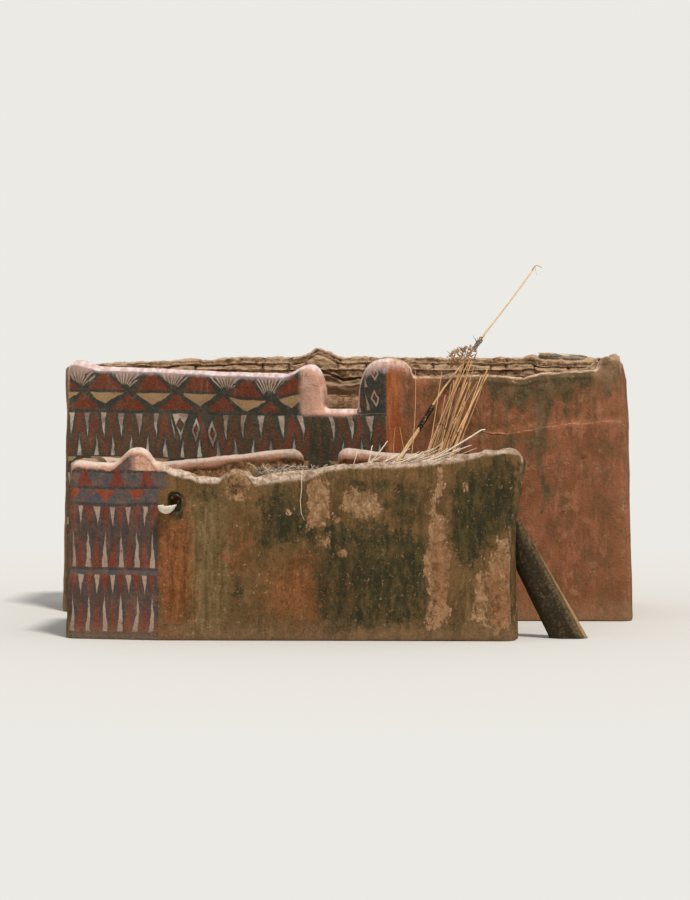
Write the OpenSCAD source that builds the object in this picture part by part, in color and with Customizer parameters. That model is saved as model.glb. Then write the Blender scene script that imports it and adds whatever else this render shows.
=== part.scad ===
// Flat-roofed earth house with a painted wing, horned parapets and a low annex in front.
// Millimetres. +X runs along the front to the right, +Y goes back, +Z is up.

/* [Plan of the house] */
// Length of the red front wall, from the bend to its right corner
red_len = 2640; // [2400:10:3200]
// How far the painted wing reaches to the left of the bend
wing_len = 3550; // [3400:10:4200]
// How far the left corner of the wing stands back
wing_back = 950; // [600:10:1100]
// Depth of the house at the red wall
house_depth = 2400; // [2300:10:3000]
// Thickness of the house walls at the foot
wall_t = 400; // [360:5:440]
// Width of the ledge inside the walls on which the roof beams lie
seat_w = 90; // [70:5:110]
// Radius of the outer corners
corner_r = 150; // [100:5:200]
// Radius of the corners inside the rooms
room_corner_r = 40; // [30:5:60]

/* [Heights of the house] */
// Height of the ledge for the roof beams
seat_h = 1840; // [1700:10:2000]
// Diameter of the roof beams
beam_d = 120; // [90:5:150]
// Diameter of the poles laid across the beams
pole_d = 50; // [35:5:65]
// Thickness of the earth on the roof
earth_t = 160; // [120:10:220]
// Height of the coping above the roof
parapet_rise = 430; // [380:10:520]
// Height of the rounded top of a parapet
crest = 80; // [60:5:100]
// Thickness of the earth floors
floor_t = 60; // [40:5:80]

/* [Horns and notch] */
// Distance from the bend to the notch, and the width of the bend's horn
notch_start = 300; // [260:5:340]
// Width of the notch
notch_w = 380; // [320:5:460]
// Height of the notch's sill above the roof
sill_rise = 80; // [60:5:120]
// Width of the horn on the far side of the notch
horn_w = 160; // [130:5:200]
// Rise of that horn above the coping
notch_horn = 130; // [80:5:180]
// Rise of the horn at the bend
bend_horn = 200; // [140:5:260]
// Length of the slope from that horn down to the coping
notch_slope = 260; // [220:5:320]
// Rise of the horn at the right corner, its width, and the length of the slope up to it
right_horn = 235; // [160:5:280]
right_horn_w = 190; // [170:5:220]
right_slope = 140; // [110:5:160]
// Rise of the horn at the left corner, its width, and the length of the slope up to it
left_horn = 170; // [100:5:260]
left_horn_w = 200; // [170:5:240]
left_slope = 220; // [160:5:280]

/* [Plaster] */
// Inward lean of the outer faces, per metre of height
lean = 16; // [10:1:24]
// Greatest depth of the hollows in the hand-laid faces
swell = 14; // [6:1:20]
// Step back of the wall above the thick lower coat
coat_t = 26; // [12:1:36]
// Distance from the bend at which the thick coat begins
coat_start = 950; // [700:10:1200]
// Height of the coat's top edge where it begins
coat_low = 1990; // [1940:10:2040]
// Height of the coat's top edge at the right corner
coat_high = 2120; // [2080:10:2160]

/* [Doorways] */
// Distance of the house doorway from the right back corner
door_at = 1500; // [1200:10:1700]
// Width of the house doorway
door_w = 620; // [540:10:700]
// Height of the house doorway
door_h = 1150; // [1000:10:1300]
// Distance of the annex doorway from the annex's right front corner
annex_door_at = 1020; // [960:10:1060]
// Width of the annex doorway
annex_door_w = 480; // [420:10:500]
// Height of the annex doorway
annex_door_h = 720; // [640:10:800]

/* [Worn back parapet] */
// Height of each course of worn earth
course_h = 140; // [120:1:150]
// Depth of the lowest course
course_w = 430; // [410:5:460]
// How much narrower each course is than the one below
course_step = 38; // [30:1:44]
// Distance of the bump in the worn crest from the right end of the parapet
bump_at = 3450; // [3350:10:3550]
// Height of the bump
bump_h = 72; // [40:2:90]
// Length of the stick that lies on the worn parapet
stick_len = 540; // [400:10:700]
// Distance of the stick from the right end of the parapet
stick_at = 450; // [300:10:700]
// Diameter of the stick
stick_d = 64; // [45:1:72]

/* [Annex] */
// Gap between the annex and the red wall
annex_gap = 550; // [480:10:700]
// Depth of the annex
annex_depth = 1700; // [1650:10:2000]
// Reach of the annex to the right of the bend
annex_right = 1420; // [1380:10:1560]
// Reach of the annex to the left of the bend
annex_left = 3250; // [3150:10:3350]
// Length of the painted part at the annex's left end
painted_len = 990; // [900:10:1100]
// How far the painted part turns back at its left end
painted_back = 200; // [120:10:300]
// Thickness of the annex walls at the foot
annex_t = 280; // [250:5:320]
// Width of the ledge for the annex beams
annex_seat_w = 70; // [60:5:85]
// How far the ledge for the annex beams lies below the house's ledge
annex_drop = 760; // [700:10:820]
// Diameter of the annex beams
annex_beam_d = 90; // [70:5:100]
// Diameter of the poles on the annex beams
annex_pole_d = 40; // [30:5:50]
// Thickness of the earth on the annex roof
annex_earth_t = 160; // [130:10:180]

/* [Rim of the annex, above its roof] */
// Rim at the right corner
rim_right = 570; // [520:10:620]
// Rim in the middle of the front
rim_middle = 430; // [400:10:470]
// Lowest place of the front rim
rim_dip = 255; // [230:5:280]
// Rim at the bend beside the painted part
rim_bend = 400; // [360:10:440]
// Rounded tip on the painted part
rim_tip = 600; // [540:10:640]
// Distance of the rounded tip from the bend of the annex front
tip_at = 262; // [250:2:290]
// Rim along the back
rim_back = 480; // [440:10:500]
// Rim left standing in the broken part at the back
rim_broken = 230; // [180:10:280]
// Lump of earth on the front rim
rim_lump = 126; // [90:2:150]
// Distance of the lump from the bend of the annex front
lump_at = 820; // [760:10:860]
// Distance of the broken part from the right back corner
broken_at = 1850; // [1700:10:1950]
// Width of the broken part
broken_w = 390; // [300:10:450]

/* [Roof drain] */
// Distance of the drain from the bend of the annex front
drain_at = 170; // [150:5:220]
// Diameter of the drain hole
drain_d = 110; // [90:2:116]
// How far the spout stands out
spout_out = 85; // [50:5:120]

/* [Things on the annex roof] */
// Length of the heap of crumbled earth
rubble_len = 580; // [450:10:620]
// Height of the crumbled earth
rubble_h = 230; // [150:10:260]
// Space between the crumbled earth and the heap of brushwood
brush_gap = 85; // [40:5:200]
// Distance of the brushwood's end from the annex's right corner
brush_end = 460; // [420:10:900]
// Height of the brushwood
brush_h = 330; // [250:10:380]
// Space between the annex's back wall and the feet of the pole and the stalks
feet_at = 400; // [380:10:440]

/* [Wood] */
// Diameter of the leaning log's foot
log_d = 300; // [240:5:310]
// Length of the leaning log
log_len = 1330; // [1250:10:1400]
// Lean of the log in degrees
log_tilt = 28; // [25:0.5:29]
// How far the log's foot stands out from the annex's right corner
log_out = 545; // [520:1:640]
// How far behind the annex's right corner the log's flat top lies
log_bevel = 38.6; // [28:0.1:40]
// Distance of the log from the front of the annex
log_back = 420; // [380:10:480]
// Diameter of the long pole at its foot
long_pole_d = 36; // [28:1:44]
// Place along the red wall where the long pole lies on the coping
pole_at = 740; // [700:10:1000]
// Sideways drift of the long pole for each millimetre towards the back
pole_drift = 0.71; // [0.6:0.01:0.75]
// Length of the long pole beyond the coping
pole_beyond = 2080; // [1500:10:2200]
// Diameter of the stalks' feet
stalk_d = 15; // [12:1:18]
// Number of stalks
stalk_count = 12; // [6:1:14]

/* [Hidden] */

// Clearance of beams and poles from the parapets
slack = 4;
// Gap between a loose piece and what it leans on
touch = 0.3;
roof_h = seat_h + beam_d + pole_d + earth_t;
coping_h = roof_h + parapet_rise;
sill_h = roof_h + sill_rise;
horn_end = notch_start + notch_w;
horn_peak = horn_end + horn_w;
annex_seat_h = seat_h - annex_drop;
annex_roof_h = annex_seat_h + annex_beam_d + annex_pole_d + annex_earth_t;
annex_front = annex_gap + annex_depth;
annex_bend = painted_len - annex_left;

// Corners of the outer faces, counter-clockwise from the bend
house = [[0, 0], [red_len, 0], [red_len, house_depth], [130 - wing_len, house_depth], [-wing_len, wing_back]];
annex = [[annex_bend, -annex_front], [annex_right, -annex_front], [annex_right - 60, -annex_gap],
         [150 - annex_left, -annex_gap], [-annex_left, painted_back - annex_front]];
RED = 0;
RIGHT = 1;
BACK = 2;
LEFT = 3;
PAINTED = 4;

// Smooth step, superellipse flank of a horn, and smooth reading of [distance, value] rows
function ease(t) = let (c = min(max(t, 0), 1)) c * c * (3 - 2 * c);
function flank(t, power = 2.5) = pow(max(1 - pow(min(max(t, 0), 1), power), 0), 1 / power);
function smooth(s, rows, i = 0) =
  s <= rows[0][0] ? rows[0][1]
  : i >= len(rows) - 1 ? rows[len(rows) - 1][1]
  : s <= rows[i + 1][0]
    ? rows[i][1] + (rows[i + 1][1] - rows[i][1]) * ease((s - rows[i][0]) / (rows[i + 1][0] - rows[i][0]))
  : smooth(s, rows, i + 1);

// Heading, turn and length of the edges of an outline, and the outward side of a heading
function corner(c, k) = c[k % len(c)];
function heading(c, k) = let (d = corner(c, k + 1) - corner(c, k)) atan2(d[1], d[0]);
function turn(c, k) = (heading(c, k) - heading(c, k + len(c) - 1) + 720) % 360;
function edge_len(c, k) = norm(corner(c, k + 1) - corner(c, k));
function along(a) = [cos(a), sin(a)];
function outward(a) = [sin(a), -cos(a)];

// A station is [outer foot, inner foot, distance along the edge].
// On a straight stretch the two feet are one wall thickness apart. Close to a corner the inner
// foot is held back, because the inside of the wall is shorter there than the outside.
function straight_station(c, k, t, s) =
  let (a = heading(c, k), low = clear_of_corner(c, k, t), high = edge_len(c, k) - clear_of_corner(c, k + 1, t),
       q = s < low ? low + (s - low) * 0.1 : s > high ? high + (s - high) * 0.1 : s)
  [corner(c, k) + along(a) * s, corner(c, k) + along(a) * q - outward(a) * t, s];

// On a corner, end is -1 at the edge's start and 1 at its end, and f goes from 0 to 1 at the middle
function corner_station(c, k, t, end, f) =
  let (a = heading(c, k), q = end < 0 ? k : k + 1, half = turn(c, q) / 2,
       n = outward(a + end * half * f),
       centre = function (r) corner(c, q) - along(a) * (end * r * tan(half)) - outward(a) * r,
       reach = corner_r * tan(half) * (1 - f))
  [centre(corner_r) + n * corner_r,
   centre(t + room_corner_r) + n * room_corner_r,
   end < 0 ? corner_r * tan(half) - reach : edge_len(c, k) - corner_r * tan(half) + reach];

function corner_steps(c, k) = max(1, ceil(turn(c, k) / 36));
function stations(c, k, t, dist, first = false, last = false) =
  let (m = corner_steps(c, k), n = corner_steps(c, k + 1))
  concat([for (i = [0:1:first ? m : -1]) corner_station(c, k, t, -1, 1 - i / m)],
         [for (s = dist) straight_station(c, k, t, s)],
         [for (i = [0:1:last ? n : -1]) corner_station(c, k, t, 1, i / n)]);

// Plan point at depth w inside the outer foot, and the same point at a height
function plan_at(st, t, w) = st[0] + (st[1] - st[0]) * (w / t);
function at(st, t, w, z) = let (p = plan_at(st, t, w)) [p[0], p[1], z];

// Closed line at depth w inside the outer feet of a whole building
function inner_line(c, t, w) =
  [for (k = [0:len(c) - 1]) each
    let (all = stations(c, k, t, [], true, true))
    [for (i = [0:len(all) - 2]) plan_at(all[i], t, w)]];

// Solid through rings of equal length. Its flat ends are fanned from each ring's first point,
// apart from the last corner, which may lie in line with that point.
module loft(rings) {
  n = len(rings);
  m = len(rings[0]);
  end = (n - 1) * m;
  sides = [for (i = [0:n - 2]) for (j = [0:m - 1]) each
    let (a = i * m + j, b = i * m + (j + 1) % m) [[a, b, a + m], [b, b + m, a + m]]];
  cap = concat([for (j = [1:m - 4]) [0, j, j + 1]], [[0, m - 3, m - 1], [m - 3, m - 2, m - 1]]);
  first = [for (f = cap) [f[0], f[2], f[1]]];
  last = [for (f = cap) f + [end, end, end]];
  polyhedron([for (ring = rings) each ring], concat(sides, first, last));
}

// Depth of the outer face behind its foot: it leans in and has shallow hand-made hollows
function face(s, z) =
  lean * z / 1000 + swell * min(z / 500, 1) * (0.5 + 0.3 * sin(s * 0.23 + z * 0.05) + 0.2 * sin(s * 0.51 - z * 0.11));

// Section of a wall with a rounded crest, from the inner ledge round by the foot and over the top
function crest_ring(st, t, seat, ledge, low, high, joint, set) =
  let (s = st[2], shoulder = high - crest, inner = t - seat,
       outer = face(s, shoulder) + set, mid = (outer + inner) / 2, half = (inner - outer) / 2)
  concat(
    [at(st, t, t - seat, ledge), at(st, t, t, ledge), at(st, t, t, low), at(st, t, 0, low)],
    [at(st, t, face(s, (low + joint) / 2), (low + joint) / 2), at(st, t, face(s, joint), joint)],
    [for (f = [0.04, 0.5]) let (z = joint + (shoulder - joint) * f) at(st, t, face(s, z) + set, z)],
    [for (i = [0:6]) at(st, t, mid - half * cos(30 * i), shoulder + crest * sin(30 * i))],
    [at(st, t, inner, joint + (shoulder - joint) * 0.3)]);

// Section of a wall that stops level with the roof
function flat_ring(st, t, seat, ledge, low, high) =
  let (s = st[2])
  concat(
    [at(st, t, t - seat, ledge), at(st, t, t, ledge), at(st, t, t, low), at(st, t, 0, low)],
    [for (f = [0.4, 0.75, 1]) let (z = low + (high - low) * f) at(st, t, face(s, z), z)],
    [at(st, t, t - seat, high)]);

// Stretch of a house wall. top, joint and set are functions of the distance along its edge.
module house_wall(k, dist, top, first = false, last = false, joint = function (s) sill_h - 60,
                  set = function (s) 0, bottom = function (s) 0) {
  loft([for (st = stations(house, k, wall_t, dist, first, last))
    crest_ring(st, wall_t, seat_w, seat_h, bottom(st[2]), top(st[2]), joint(st[2]), set(st[2]))]);
}

module annex_wall(k, dist, top, first = false, last = false, bottom = function (s) 0) {
  loft([for (st = stations(annex, k, annex_t, dist, first, last))
    crest_ring(st, annex_t, annex_seat_w, annex_seat_h, bottom(st[2]), annex_roof_h + top(st[2]),
               annex_seat_h + annex_beam_d, 0)]);
}

module back_wall(dist, first = false, last = false, bottom = function (s) 0) {
  loft([for (st = stations(house, BACK, wall_t, dist, first, last))
    flat_ring(st, wall_t, seat_w, seat_h, bottom(st[2]), roof_h)]);
}

// Distances from a to b in n equal steps
function steps(a, b, n) = [for (i = [0:n]) a + (b - a) * i / n];
// Underside of an arched doorway that starts at a, w wide, h high
function arch(s, a, w, h) = h - w / 2 + w / 2 * sqrt(max(1 - pow(2 * (s - a) / w - 1, 2), 0));
// Distance at which the straight stretch may begin after a corner
function clear_of_corner(c, k, t) = (t + room_corner_r) * tan(turn(c, k) / 2) + 40;

// Height of the red wall's top, with the flank of the bend's horn and the corner horn
function red_top(s) =
  s < notch_start ? coping_h + bend_horn * flank(max(s - 60, 0) / (notch_start - 60), 2)
  : smooth(s, [[notch_start, coping_h], [red_len * 0.45, coping_h - 20], [red_len - right_horn_w - right_slope, coping_h + 55],
               [red_len - right_horn_w, coping_h + right_horn], [red_len, coping_h + right_horn * 0.7]]);

// Height of the painted wall's top, read by distance from the bend
function painted_top(e) =
  e <= 40 ? coping_h + bend_horn
  : e < notch_start ? sill_h + (coping_h + bend_horn - sill_h) * flank((e - 40) / (notch_start - 40))
  : e <= horn_end ? sill_h
  : e < horn_peak ? sill_h + (coping_h + notch_horn - sill_h) * flank((horn_peak - e) / horn_w)
  : smooth(e, [[horn_peak, coping_h + notch_horn], [horn_peak + notch_slope, coping_h + 20],
               [wing_edge - left_horn_w - left_slope, coping_h + 70],
               [wing_edge - left_horn_w, coping_h + left_horn],
               [wing_edge, coping_h + left_horn * 0.7]]);
wing_edge = edge_len(house, PAINTED);

// How much the parapet narrows at the rounded ends beside the notch
cheek_r = 120;
function pinch(e) =
  let (r = cheek_r, near = e < notch_start ? notch_start - e : e - horn_end, q = 1 - near / r)
  e >= notch_start - 1 && e <= horn_end + 1 || near > r ? 0 : 0.8 * r * (1 - sqrt(1 - 0.96 * q * q));

// Top edge of the thick lower coat, and the step back above it
function coat_edge(s) =
  coat_low + (coat_high - coat_low) * ease((s - coat_start) / (red_len - 600 - coat_start)) + 10 * sin(s * 0.6);
function coat_set(s) = coat_t * ease((s - coat_start + 150) / 300);

module red_wall_left() {
  color("indianred")
    house_wall(RED, [90, 160, 220, 270, 300, 450, 640, coat_start - 150, coat_start, coat_start + 150],
               function (s) red_top(s), first = true, joint = function (s) coat_edge(s),
               set = function (s) coat_set(s));
}

module red_wall_right() {
  color("indianred")
    house_wall(RED, concat(steps(coat_start + 150, red_len - right_horn_w - right_slope - 150, 5),
                           [for (f = [0.5, 0, -0.3, -0.65, -1]) red_len - right_horn_w - right_slope * (1 + f)]),
               function (s) red_top(s), last = true, joint = function (s) coat_edge(s),
               set = function (s) coat_set(s));
}

// The side walls slope down a little towards the worn back
function right_top(s) = smooth(s, [[0, coping_h + right_horn * 0.7], [260, coping_h + 40], [1200, coping_h - 20],
                                   [house_depth, coping_h - 60]]);
function left_top(s) = smooth(s, [[0, coping_h - 60], [500, coping_h - 10],
                                  [left_edge - 260, coping_h + 40], [left_edge, coping_h + left_horn * 0.7]]);
left_edge = edge_len(house, LEFT);

module right_side_wall() {
  edge = house_depth;
  from = clear_of_corner(house, RIGHT, wall_t);
  color("peru")
    house_wall(RIGHT, steps(from, edge - from, 5), function (s) right_top(s), first = true, last = true,
               joint = function (s) coat_high + (sill_h - 60 - coat_high) * ease(s / from),
               set = function (s) coat_t * (1 - ease(s / from)));
}

module left_side_wall() {
  from = clear_of_corner(house, LEFT, wall_t);
  to = left_edge - clear_of_corner(house, PAINTED, wall_t);
  color("peru") house_wall(LEFT, steps(from, to, 3), function (s) left_top(s), first = true, last = true);
}

back_from = clear_of_corner(house, BACK, wall_t);
back_edge = edge_len(house, BACK);
back_to = back_edge - clear_of_corner(house, LEFT, wall_t);

module back_wall_right() {
  color("peru") back_wall(steps(back_from, door_at, 3), first = true);
}

module back_wall_over_door() {
  color("peru")
    back_wall([for (f = [0, 0.06, 0.2, 0.35, 0.5, 0.65, 0.8, 0.94, 1]) door_at + door_w * f],
              bottom = function (s) arch(s, door_at, door_w, door_h));
}

module back_wall_left() {
  color("peru") back_wall(steps(door_at + door_w, back_to, 6), last = true);
}

// Stretch of the painted wall between two distances from the bend, given from left to right
module painted_wall(dist, first = false, last = false) {
  house_wall(PAINTED, [for (e = dist) wing_edge - e], function (s) painted_top(wing_edge - s),
             first = first, last = last, set = function (s) pinch(wing_edge - s));
}

module painted_wall_left() {
  from = wing_edge - clear_of_corner(house, PAINTED, wall_t);
  color("darkslategray") painted_wall(concat([from, from - 100], steps(from - 260, horn_peak + notch_slope * 2.3, 4)), first = true);
}

module painted_wall_horn() {
  color("darkslategray")
    painted_wall(concat([for (f = [2.3, 1.65, 1, 0.6, 0.3]) horn_peak + notch_slope * f],
                        [for (f = [1, 0.75, 0.5, 0.28, 0.13, 0.04, 0]) horn_end + horn_w * f]));
}

module notch_wall() {
  color("darkslategray") painted_wall(steps(horn_end, notch_start, 4));
}

module bend_horn_wall() {
  color("darkslategray")
    painted_wall([for (f = [1, 0.975, 0.92, 0.83, 0.7, 0.55, 0.38]) 40 + (notch_start - 40) * f], last = true);
}

// Distances along the back wall at which the worn courses change
worn_from = clear_of_corner(house, BACK, course_w);
worn_places = concat(steps(worn_from + 60, bump_at - 300, 11), [for (d = [-180, -110, -50, 0, 60, 130, 200]) bump_at + d],
                     steps(bump_at + 330, back_edge - worn_from - 60, 8));

// One course of worn earth on the back wall, its edges wandering with the distance
module worn_course(i, top) {
  low = roof_h + i * course_h;
  wander = function (s, p) 0.6 * sin(s * 0.31 + p * 97) + 0.4 * sin(s * 0.83 + p * 41);
  all = concat([corner_station(house, BACK, wall_t, -1, 1)],
               [for (s = worn_places) straight_station(house, BACK, wall_t, s)],
               [corner_station(house, BACK, wall_t, 1, 1)]);
  loft([for (st = all)
    let (s = st[2], at_end = s < worn_from || s > back_edge - worn_from, w = at_end ? 0 : 1,
         outer = face(s, low) + 18 + 8 * i + 10 * w * wander(s, i),
         inner = course_w - course_step * i + 16 * w * wander(s, i + 5), high = low + top(s))
    [at(st, wall_t, inner, low), at(st, wall_t, outer, low),
     at(st, wall_t, outer - 6 * w, (low + high) / 2), at(st, wall_t, outer + 9, high),
     at(st, wall_t, inner - 12, high), at(st, wall_t, inner + 8 * w, (low + high) / 2)]]);
}

module worn_course_1() {
  color("tan") worn_course(0, function (s) course_h);
}

module worn_course_2() {
  color("burlywood") worn_course(1, function (s) course_h);
}

module worn_course_3() {
  color("tan") worn_course(2, function (s) course_h);
}

// Height of the uppermost course, with the bump that shows beside the notch and the fall towards the left
function worn_top(s) =
  smooth(s, [[0, course_h], [bump_at - 250, course_h], [bump_at - 150, course_h + bump_h * 0.6],
             [bump_at, course_h + bump_h], [bump_at + 100, course_h + bump_h * 0.3], [bump_at + 190, course_h * 1.06],
             [bump_at + 450, course_h * 1.05], [back_edge, course_h * 0.55]]) + 5 * sin(s * 0.53);

module worn_course_4() {
  color("burlywood") worn_course(3, function (s) worn_top(s));
}

module house_floor() {
  a = heading(house, BACK);
  p = corner(house, BACK) + along(a) * (door_at + door_w / 2);
  color("rosybrown")
    linear_extrude(floor_t)
      union() {
        polygon(inner_line(house, wall_t, wall_t));
        translate([p[0] - door_w / 2, p[1] - wall_t - 1]) square([door_w, wall_t + 1]);
      }
}

// Front and back ends of a beam at x, clear of both parapets of a building
function front_y(c, t, w, x) =
  let (a = heading(c, PAINTED), b = corner(c, RED)) x < b[0] ? b[1] + (x - b[0]) * tan(a) + w / cos(a) : b[1] + w;

module beams(c, t, seat, ledge, d, places) {
  for (x = places) {
    reach = t - seat + slack;
    y1 = max(front_y(c, t, reach, x - d / 2), front_y(c, t, reach, x + d / 2));
    y2 = corner(c, BACK)[1] - reach;
    translate([x, y1, ledge + d / 2]) rotate([-90, 0, 0]) cylinder(h = y2 - y1, d = d, $fn = 24);
  }
}

// Poles laid side by side across the beams, cut to the line of the parapets
module roof_poles(c, t, seat, low, d, pitch) {
  inside = inner_line(c, t, t - seat + slack);
  x1 = min([for (p = inside) p[0]]);
  x2 = max([for (p = inside) p[0]]);
  y1 = min([for (p = inside) p[1]]);
  y2 = max([for (p = inside) p[1]]);
  n = floor((y2 - y1 - d) / pitch);
  intersection() {
    for (i = [0:n])
      translate([x1, y1 + (y2 - y1 - n * pitch) / 2 + i * pitch, low + d / 2])
        rotate([0, 90, 0]) cylinder(h = x2 - x1, d = d, $fn = 16);
    translate([0, 0, low - 1]) linear_extrude(d + 2) polygon(inside);
  }
}

module house_beams() {
  first = -wing_len + wall_t + 130;
  last = red_len - wall_t - 110;
  color("saddlebrown") beams(house, wall_t, seat_w, seat_h, beam_d, steps(first, last, 8));
}

module house_roof_poles() {
  color("sienna") roof_poles(house, wall_t, seat_w, seat_h + beam_d, pole_d, pole_d + 35);
}

module house_roof_earth() {
  color("tan")
    translate([0, 0, roof_h - earth_t])
      linear_extrude(earth_t) polygon(inner_line(house, wall_t, wall_t - seat_w));
}

module parapet_stick() {
  peak = max([for (s = worn_places) if (s > stick_at && s < stick_at + stick_len) worn_top(s)]);
  color("silver")
    translate([red_len - stick_at - stick_len, house_depth - 200, roof_h + 3 * course_h + peak + touch + stick_d / 2])
      rotate([0, 90, 0]) cylinder(h = stick_len, d = stick_d, $fn = 16);
}

// Height of the annex's front rim above its roof, read from the bend to the right corner
function front_rim(s) =
  smooth(s, [[0, rim_bend], [130, rim_bend - 30], [lump_at - 350, rim_dip + 27], [lump_at - 180, rim_dip],
             [lump_at - 130, rim_dip + rim_lump * 0.45], [lump_at - 65, rim_dip + rim_lump * 0.9],
             [lump_at + 20, rim_dip + rim_lump], [lump_at + 90, rim_dip + rim_lump * 0.45], [lump_at + 145, rim_dip + 8],
             [1476, rim_dip + 62], [2060, rim_middle], [2720, rim_middle + 25], [front_edge - 300, rim_right - 10],
             [front_edge - 120, rim_right], [front_edge, rim_right - 30]]);
front_edge = edge_len(annex, RED);
end_edge = edge_len(annex, RIGHT);
annex_back_edge = edge_len(annex, BACK);
annex_left_edge = edge_len(annex, LEFT);
painted_edge = edge_len(annex, PAINTED);

function end_rim(s) = smooth(s, [[0, rim_right - 30], [500, rim_back + 20], [end_edge, rim_back - 20]]);
function back_rim(s) =
  s < broken_at ? smooth(s, [[0, rim_back - 20], [1200, rim_back - 30], [broken_at - 120, rim_back + 10],
                             [broken_at, rim_broken]])
  : smooth(s, [[broken_at + broken_w, rim_broken], [broken_at + broken_w + 90, rim_back + 10],
               [broken_at + broken_w + 700, rim_back - 40], [broken_at + broken_w + 1300, rim_back - 110],
               [annex_back_edge, rim_back - 60]]);
function left_rim(s) = smooth(s, [[0, rim_back - 60], [annex_left_edge, rim_back - 20]]);
function painted_rim(s) =
  smooth(s, [[0, rim_back - 20], [painted_edge - tip_at - 210, rim_back - 40],
             [painted_edge - tip_at - 125, rim_tip - 75], [painted_edge - tip_at - 60, rim_tip - 12],
             [painted_edge - tip_at, rim_tip], [painted_edge - tip_at + 60, rim_tip - 12],
             [painted_edge - tip_at + 115, rim_bend + 110], [painted_edge - tip_at + 165, rim_bend + 35],
             [painted_edge - 30, rim_bend], [painted_edge, rim_bend]]);

drain_h = annex_roof_h + drain_d / 2;
// Distances at which the front is divided into its three pieces
split_left = 1010;
split_right = 2400;

module annex_front_left() {
  color("saddlebrown")
    difference() {
      annex_wall(RED, concat([60, 130, drain_at + 80, 400, 560],
                             [for (d = [-180, -130, -95, -65, -20, 20, 55, 90, 145]) lump_at + d], [split_left]),
                 function (s) front_rim(s), first = true);
      translate([annex_bend + drain_at, -annex_front - 50, drain_h])
        rotate([-90, 0, 0]) cylinder(h = annex_t + 100, d = drain_d, $fn = 24);
    }
}

module annex_front_middle() {
  color("sienna") annex_wall(RED, steps(split_left, split_right, 5), function (s) front_rim(s));
}

module annex_front_right() {
  to = front_edge - clear_of_corner(annex, RIGHT, annex_t);
  color("saddlebrown") annex_wall(RED, steps(split_right, to, 4), function (s) front_rim(s), last = true);
}

module annex_end_front() {
  from = clear_of_corner(annex, RIGHT, annex_t);
  color("sienna") annex_wall(RIGHT, steps(from, annex_door_at - annex_door_w / 2, 2), function (s) end_rim(s),
                                   first = true);
}

module annex_end_over_door() {
  a = annex_door_at - annex_door_w / 2;
  color("peru")
    annex_wall(RIGHT, [for (f = [0, 0.06, 0.2, 0.35, 0.5, 0.65, 0.8, 0.94, 1]) a + annex_door_w * f],
               function (s) end_rim(s),
               bottom = function (s) arch(s, a, annex_door_w, annex_door_h));
}

module annex_end_back() {
  color("sienna") annex_wall(RIGHT, [annex_door_at + annex_door_w / 2], function (s) end_rim(s), last = true);
}

module annex_back_right() {
  from = clear_of_corner(annex, BACK, annex_t);
  color("peru")
    annex_wall(BACK, concat(steps(from, broken_at - 200, 4), [broken_at - 120, broken_at - 50, broken_at]),
               function (s) back_rim(s), first = true);
}

module annex_back_broken() {
  color("sienna") annex_wall(BACK, steps(broken_at, broken_at + broken_w, 3), function (s) rim_broken);
}

module annex_back_left() {
  to = annex_back_edge - clear_of_corner(annex, LEFT, annex_t);
  a = broken_at + broken_w;
  color("peru") annex_wall(BACK, concat([a, a + 40, a + 90, a + 200], steps(a + 500, to, 3)),
                               function (s) back_rim(s), last = true);
}

module annex_left_end() {
  from = clear_of_corner(annex, LEFT, annex_t);
  to = annex_left_edge - clear_of_corner(annex, PAINTED, annex_t);
  color("sienna") annex_wall(LEFT, steps(from, to, 3), function (s) left_rim(s), first = true, last = true);
}

module annex_painted_wall() {
  from = clear_of_corner(annex, PAINTED, annex_t);
  color("darkslategray")
    annex_wall(PAINTED, concat([from, painted_edge - tip_at - 210],
                               [for (d = [165, 125, 90, 60, 0, -60, -90, -115, -165]) painted_edge - tip_at - d],
                               [painted_edge - 60]),
               function (s) painted_rim(s), first = true, last = true);
}

module annex_floor() {
  a = heading(annex, RIGHT);
  p = corner(annex, RIGHT) + along(a) * annex_door_at;
  color("rosybrown")
    linear_extrude(floor_t)
      union() {
        polygon(inner_line(annex, annex_t, annex_t));
        translate(p) rotate(a - 90)
          translate([-annex_t - 1, -annex_door_w / 2]) square([annex_t + 1, annex_door_w]);
      }
}

module annex_beams() {
  first = -annex_left + annex_t + 170;
  last = annex_right - annex_t - 140;
  color("saddlebrown") beams(annex, annex_t, annex_seat_w, annex_seat_h, annex_beam_d, steps(first, last, 6));
}

module annex_roof_poles() {
  low = annex_seat_h + annex_beam_d;
  color("sienna") roof_poles(annex, annex_t, annex_seat_w, low, annex_pole_d, annex_pole_d + 30);
}

module annex_roof_earth() {
  color("tan")
    translate([0, 0, annex_roof_h - annex_earth_t])
      linear_extrude(annex_earth_t) polygon(inner_line(annex, annex_t, annex_t - annex_seat_w));
}

// Heap that lies on the annex roof behind the front rim, from x1 to x2, w deep
module heap(x1, x2, w, rise) {
  y = -annex_front + annex_t + 10;
  loft([for (f = [0, 0.04, 0.15, 0.35, 0.55, 0.75, 0.9, 0.97, 1])
    let (x = x1 + (x2 - x1) * f, g = 0.3 + 0.7 * pow(sin(180 * f), 0.35),
         h = rise * g * (1 + 0.12 * sin(700 * f)), mid = y + w / 2)
    [for (i = [0:7]) [x, mid - w / 2 * g * cos(180 * i / 7), annex_roof_h + h * pow(sin(180 * i / 7), 0.7)]]]);
}

rubble_at = annex_bend + drain_at + drain_d / 2 - 15;
// The heaps leave this much of the roof's depth to the feet of the pole and the stalks
heap_w = annex_depth - 2 * annex_t - feet_at - 100;

module roof_rubble() {
  color("burlywood") heap(rubble_at, rubble_at + rubble_len, heap_w * 0.875, rubble_h);
}

module brushwood() {
  color("khaki") heap(rubble_at + rubble_len + brush_gap, annex_right - brush_end, heap_w, brush_h);
}

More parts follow.
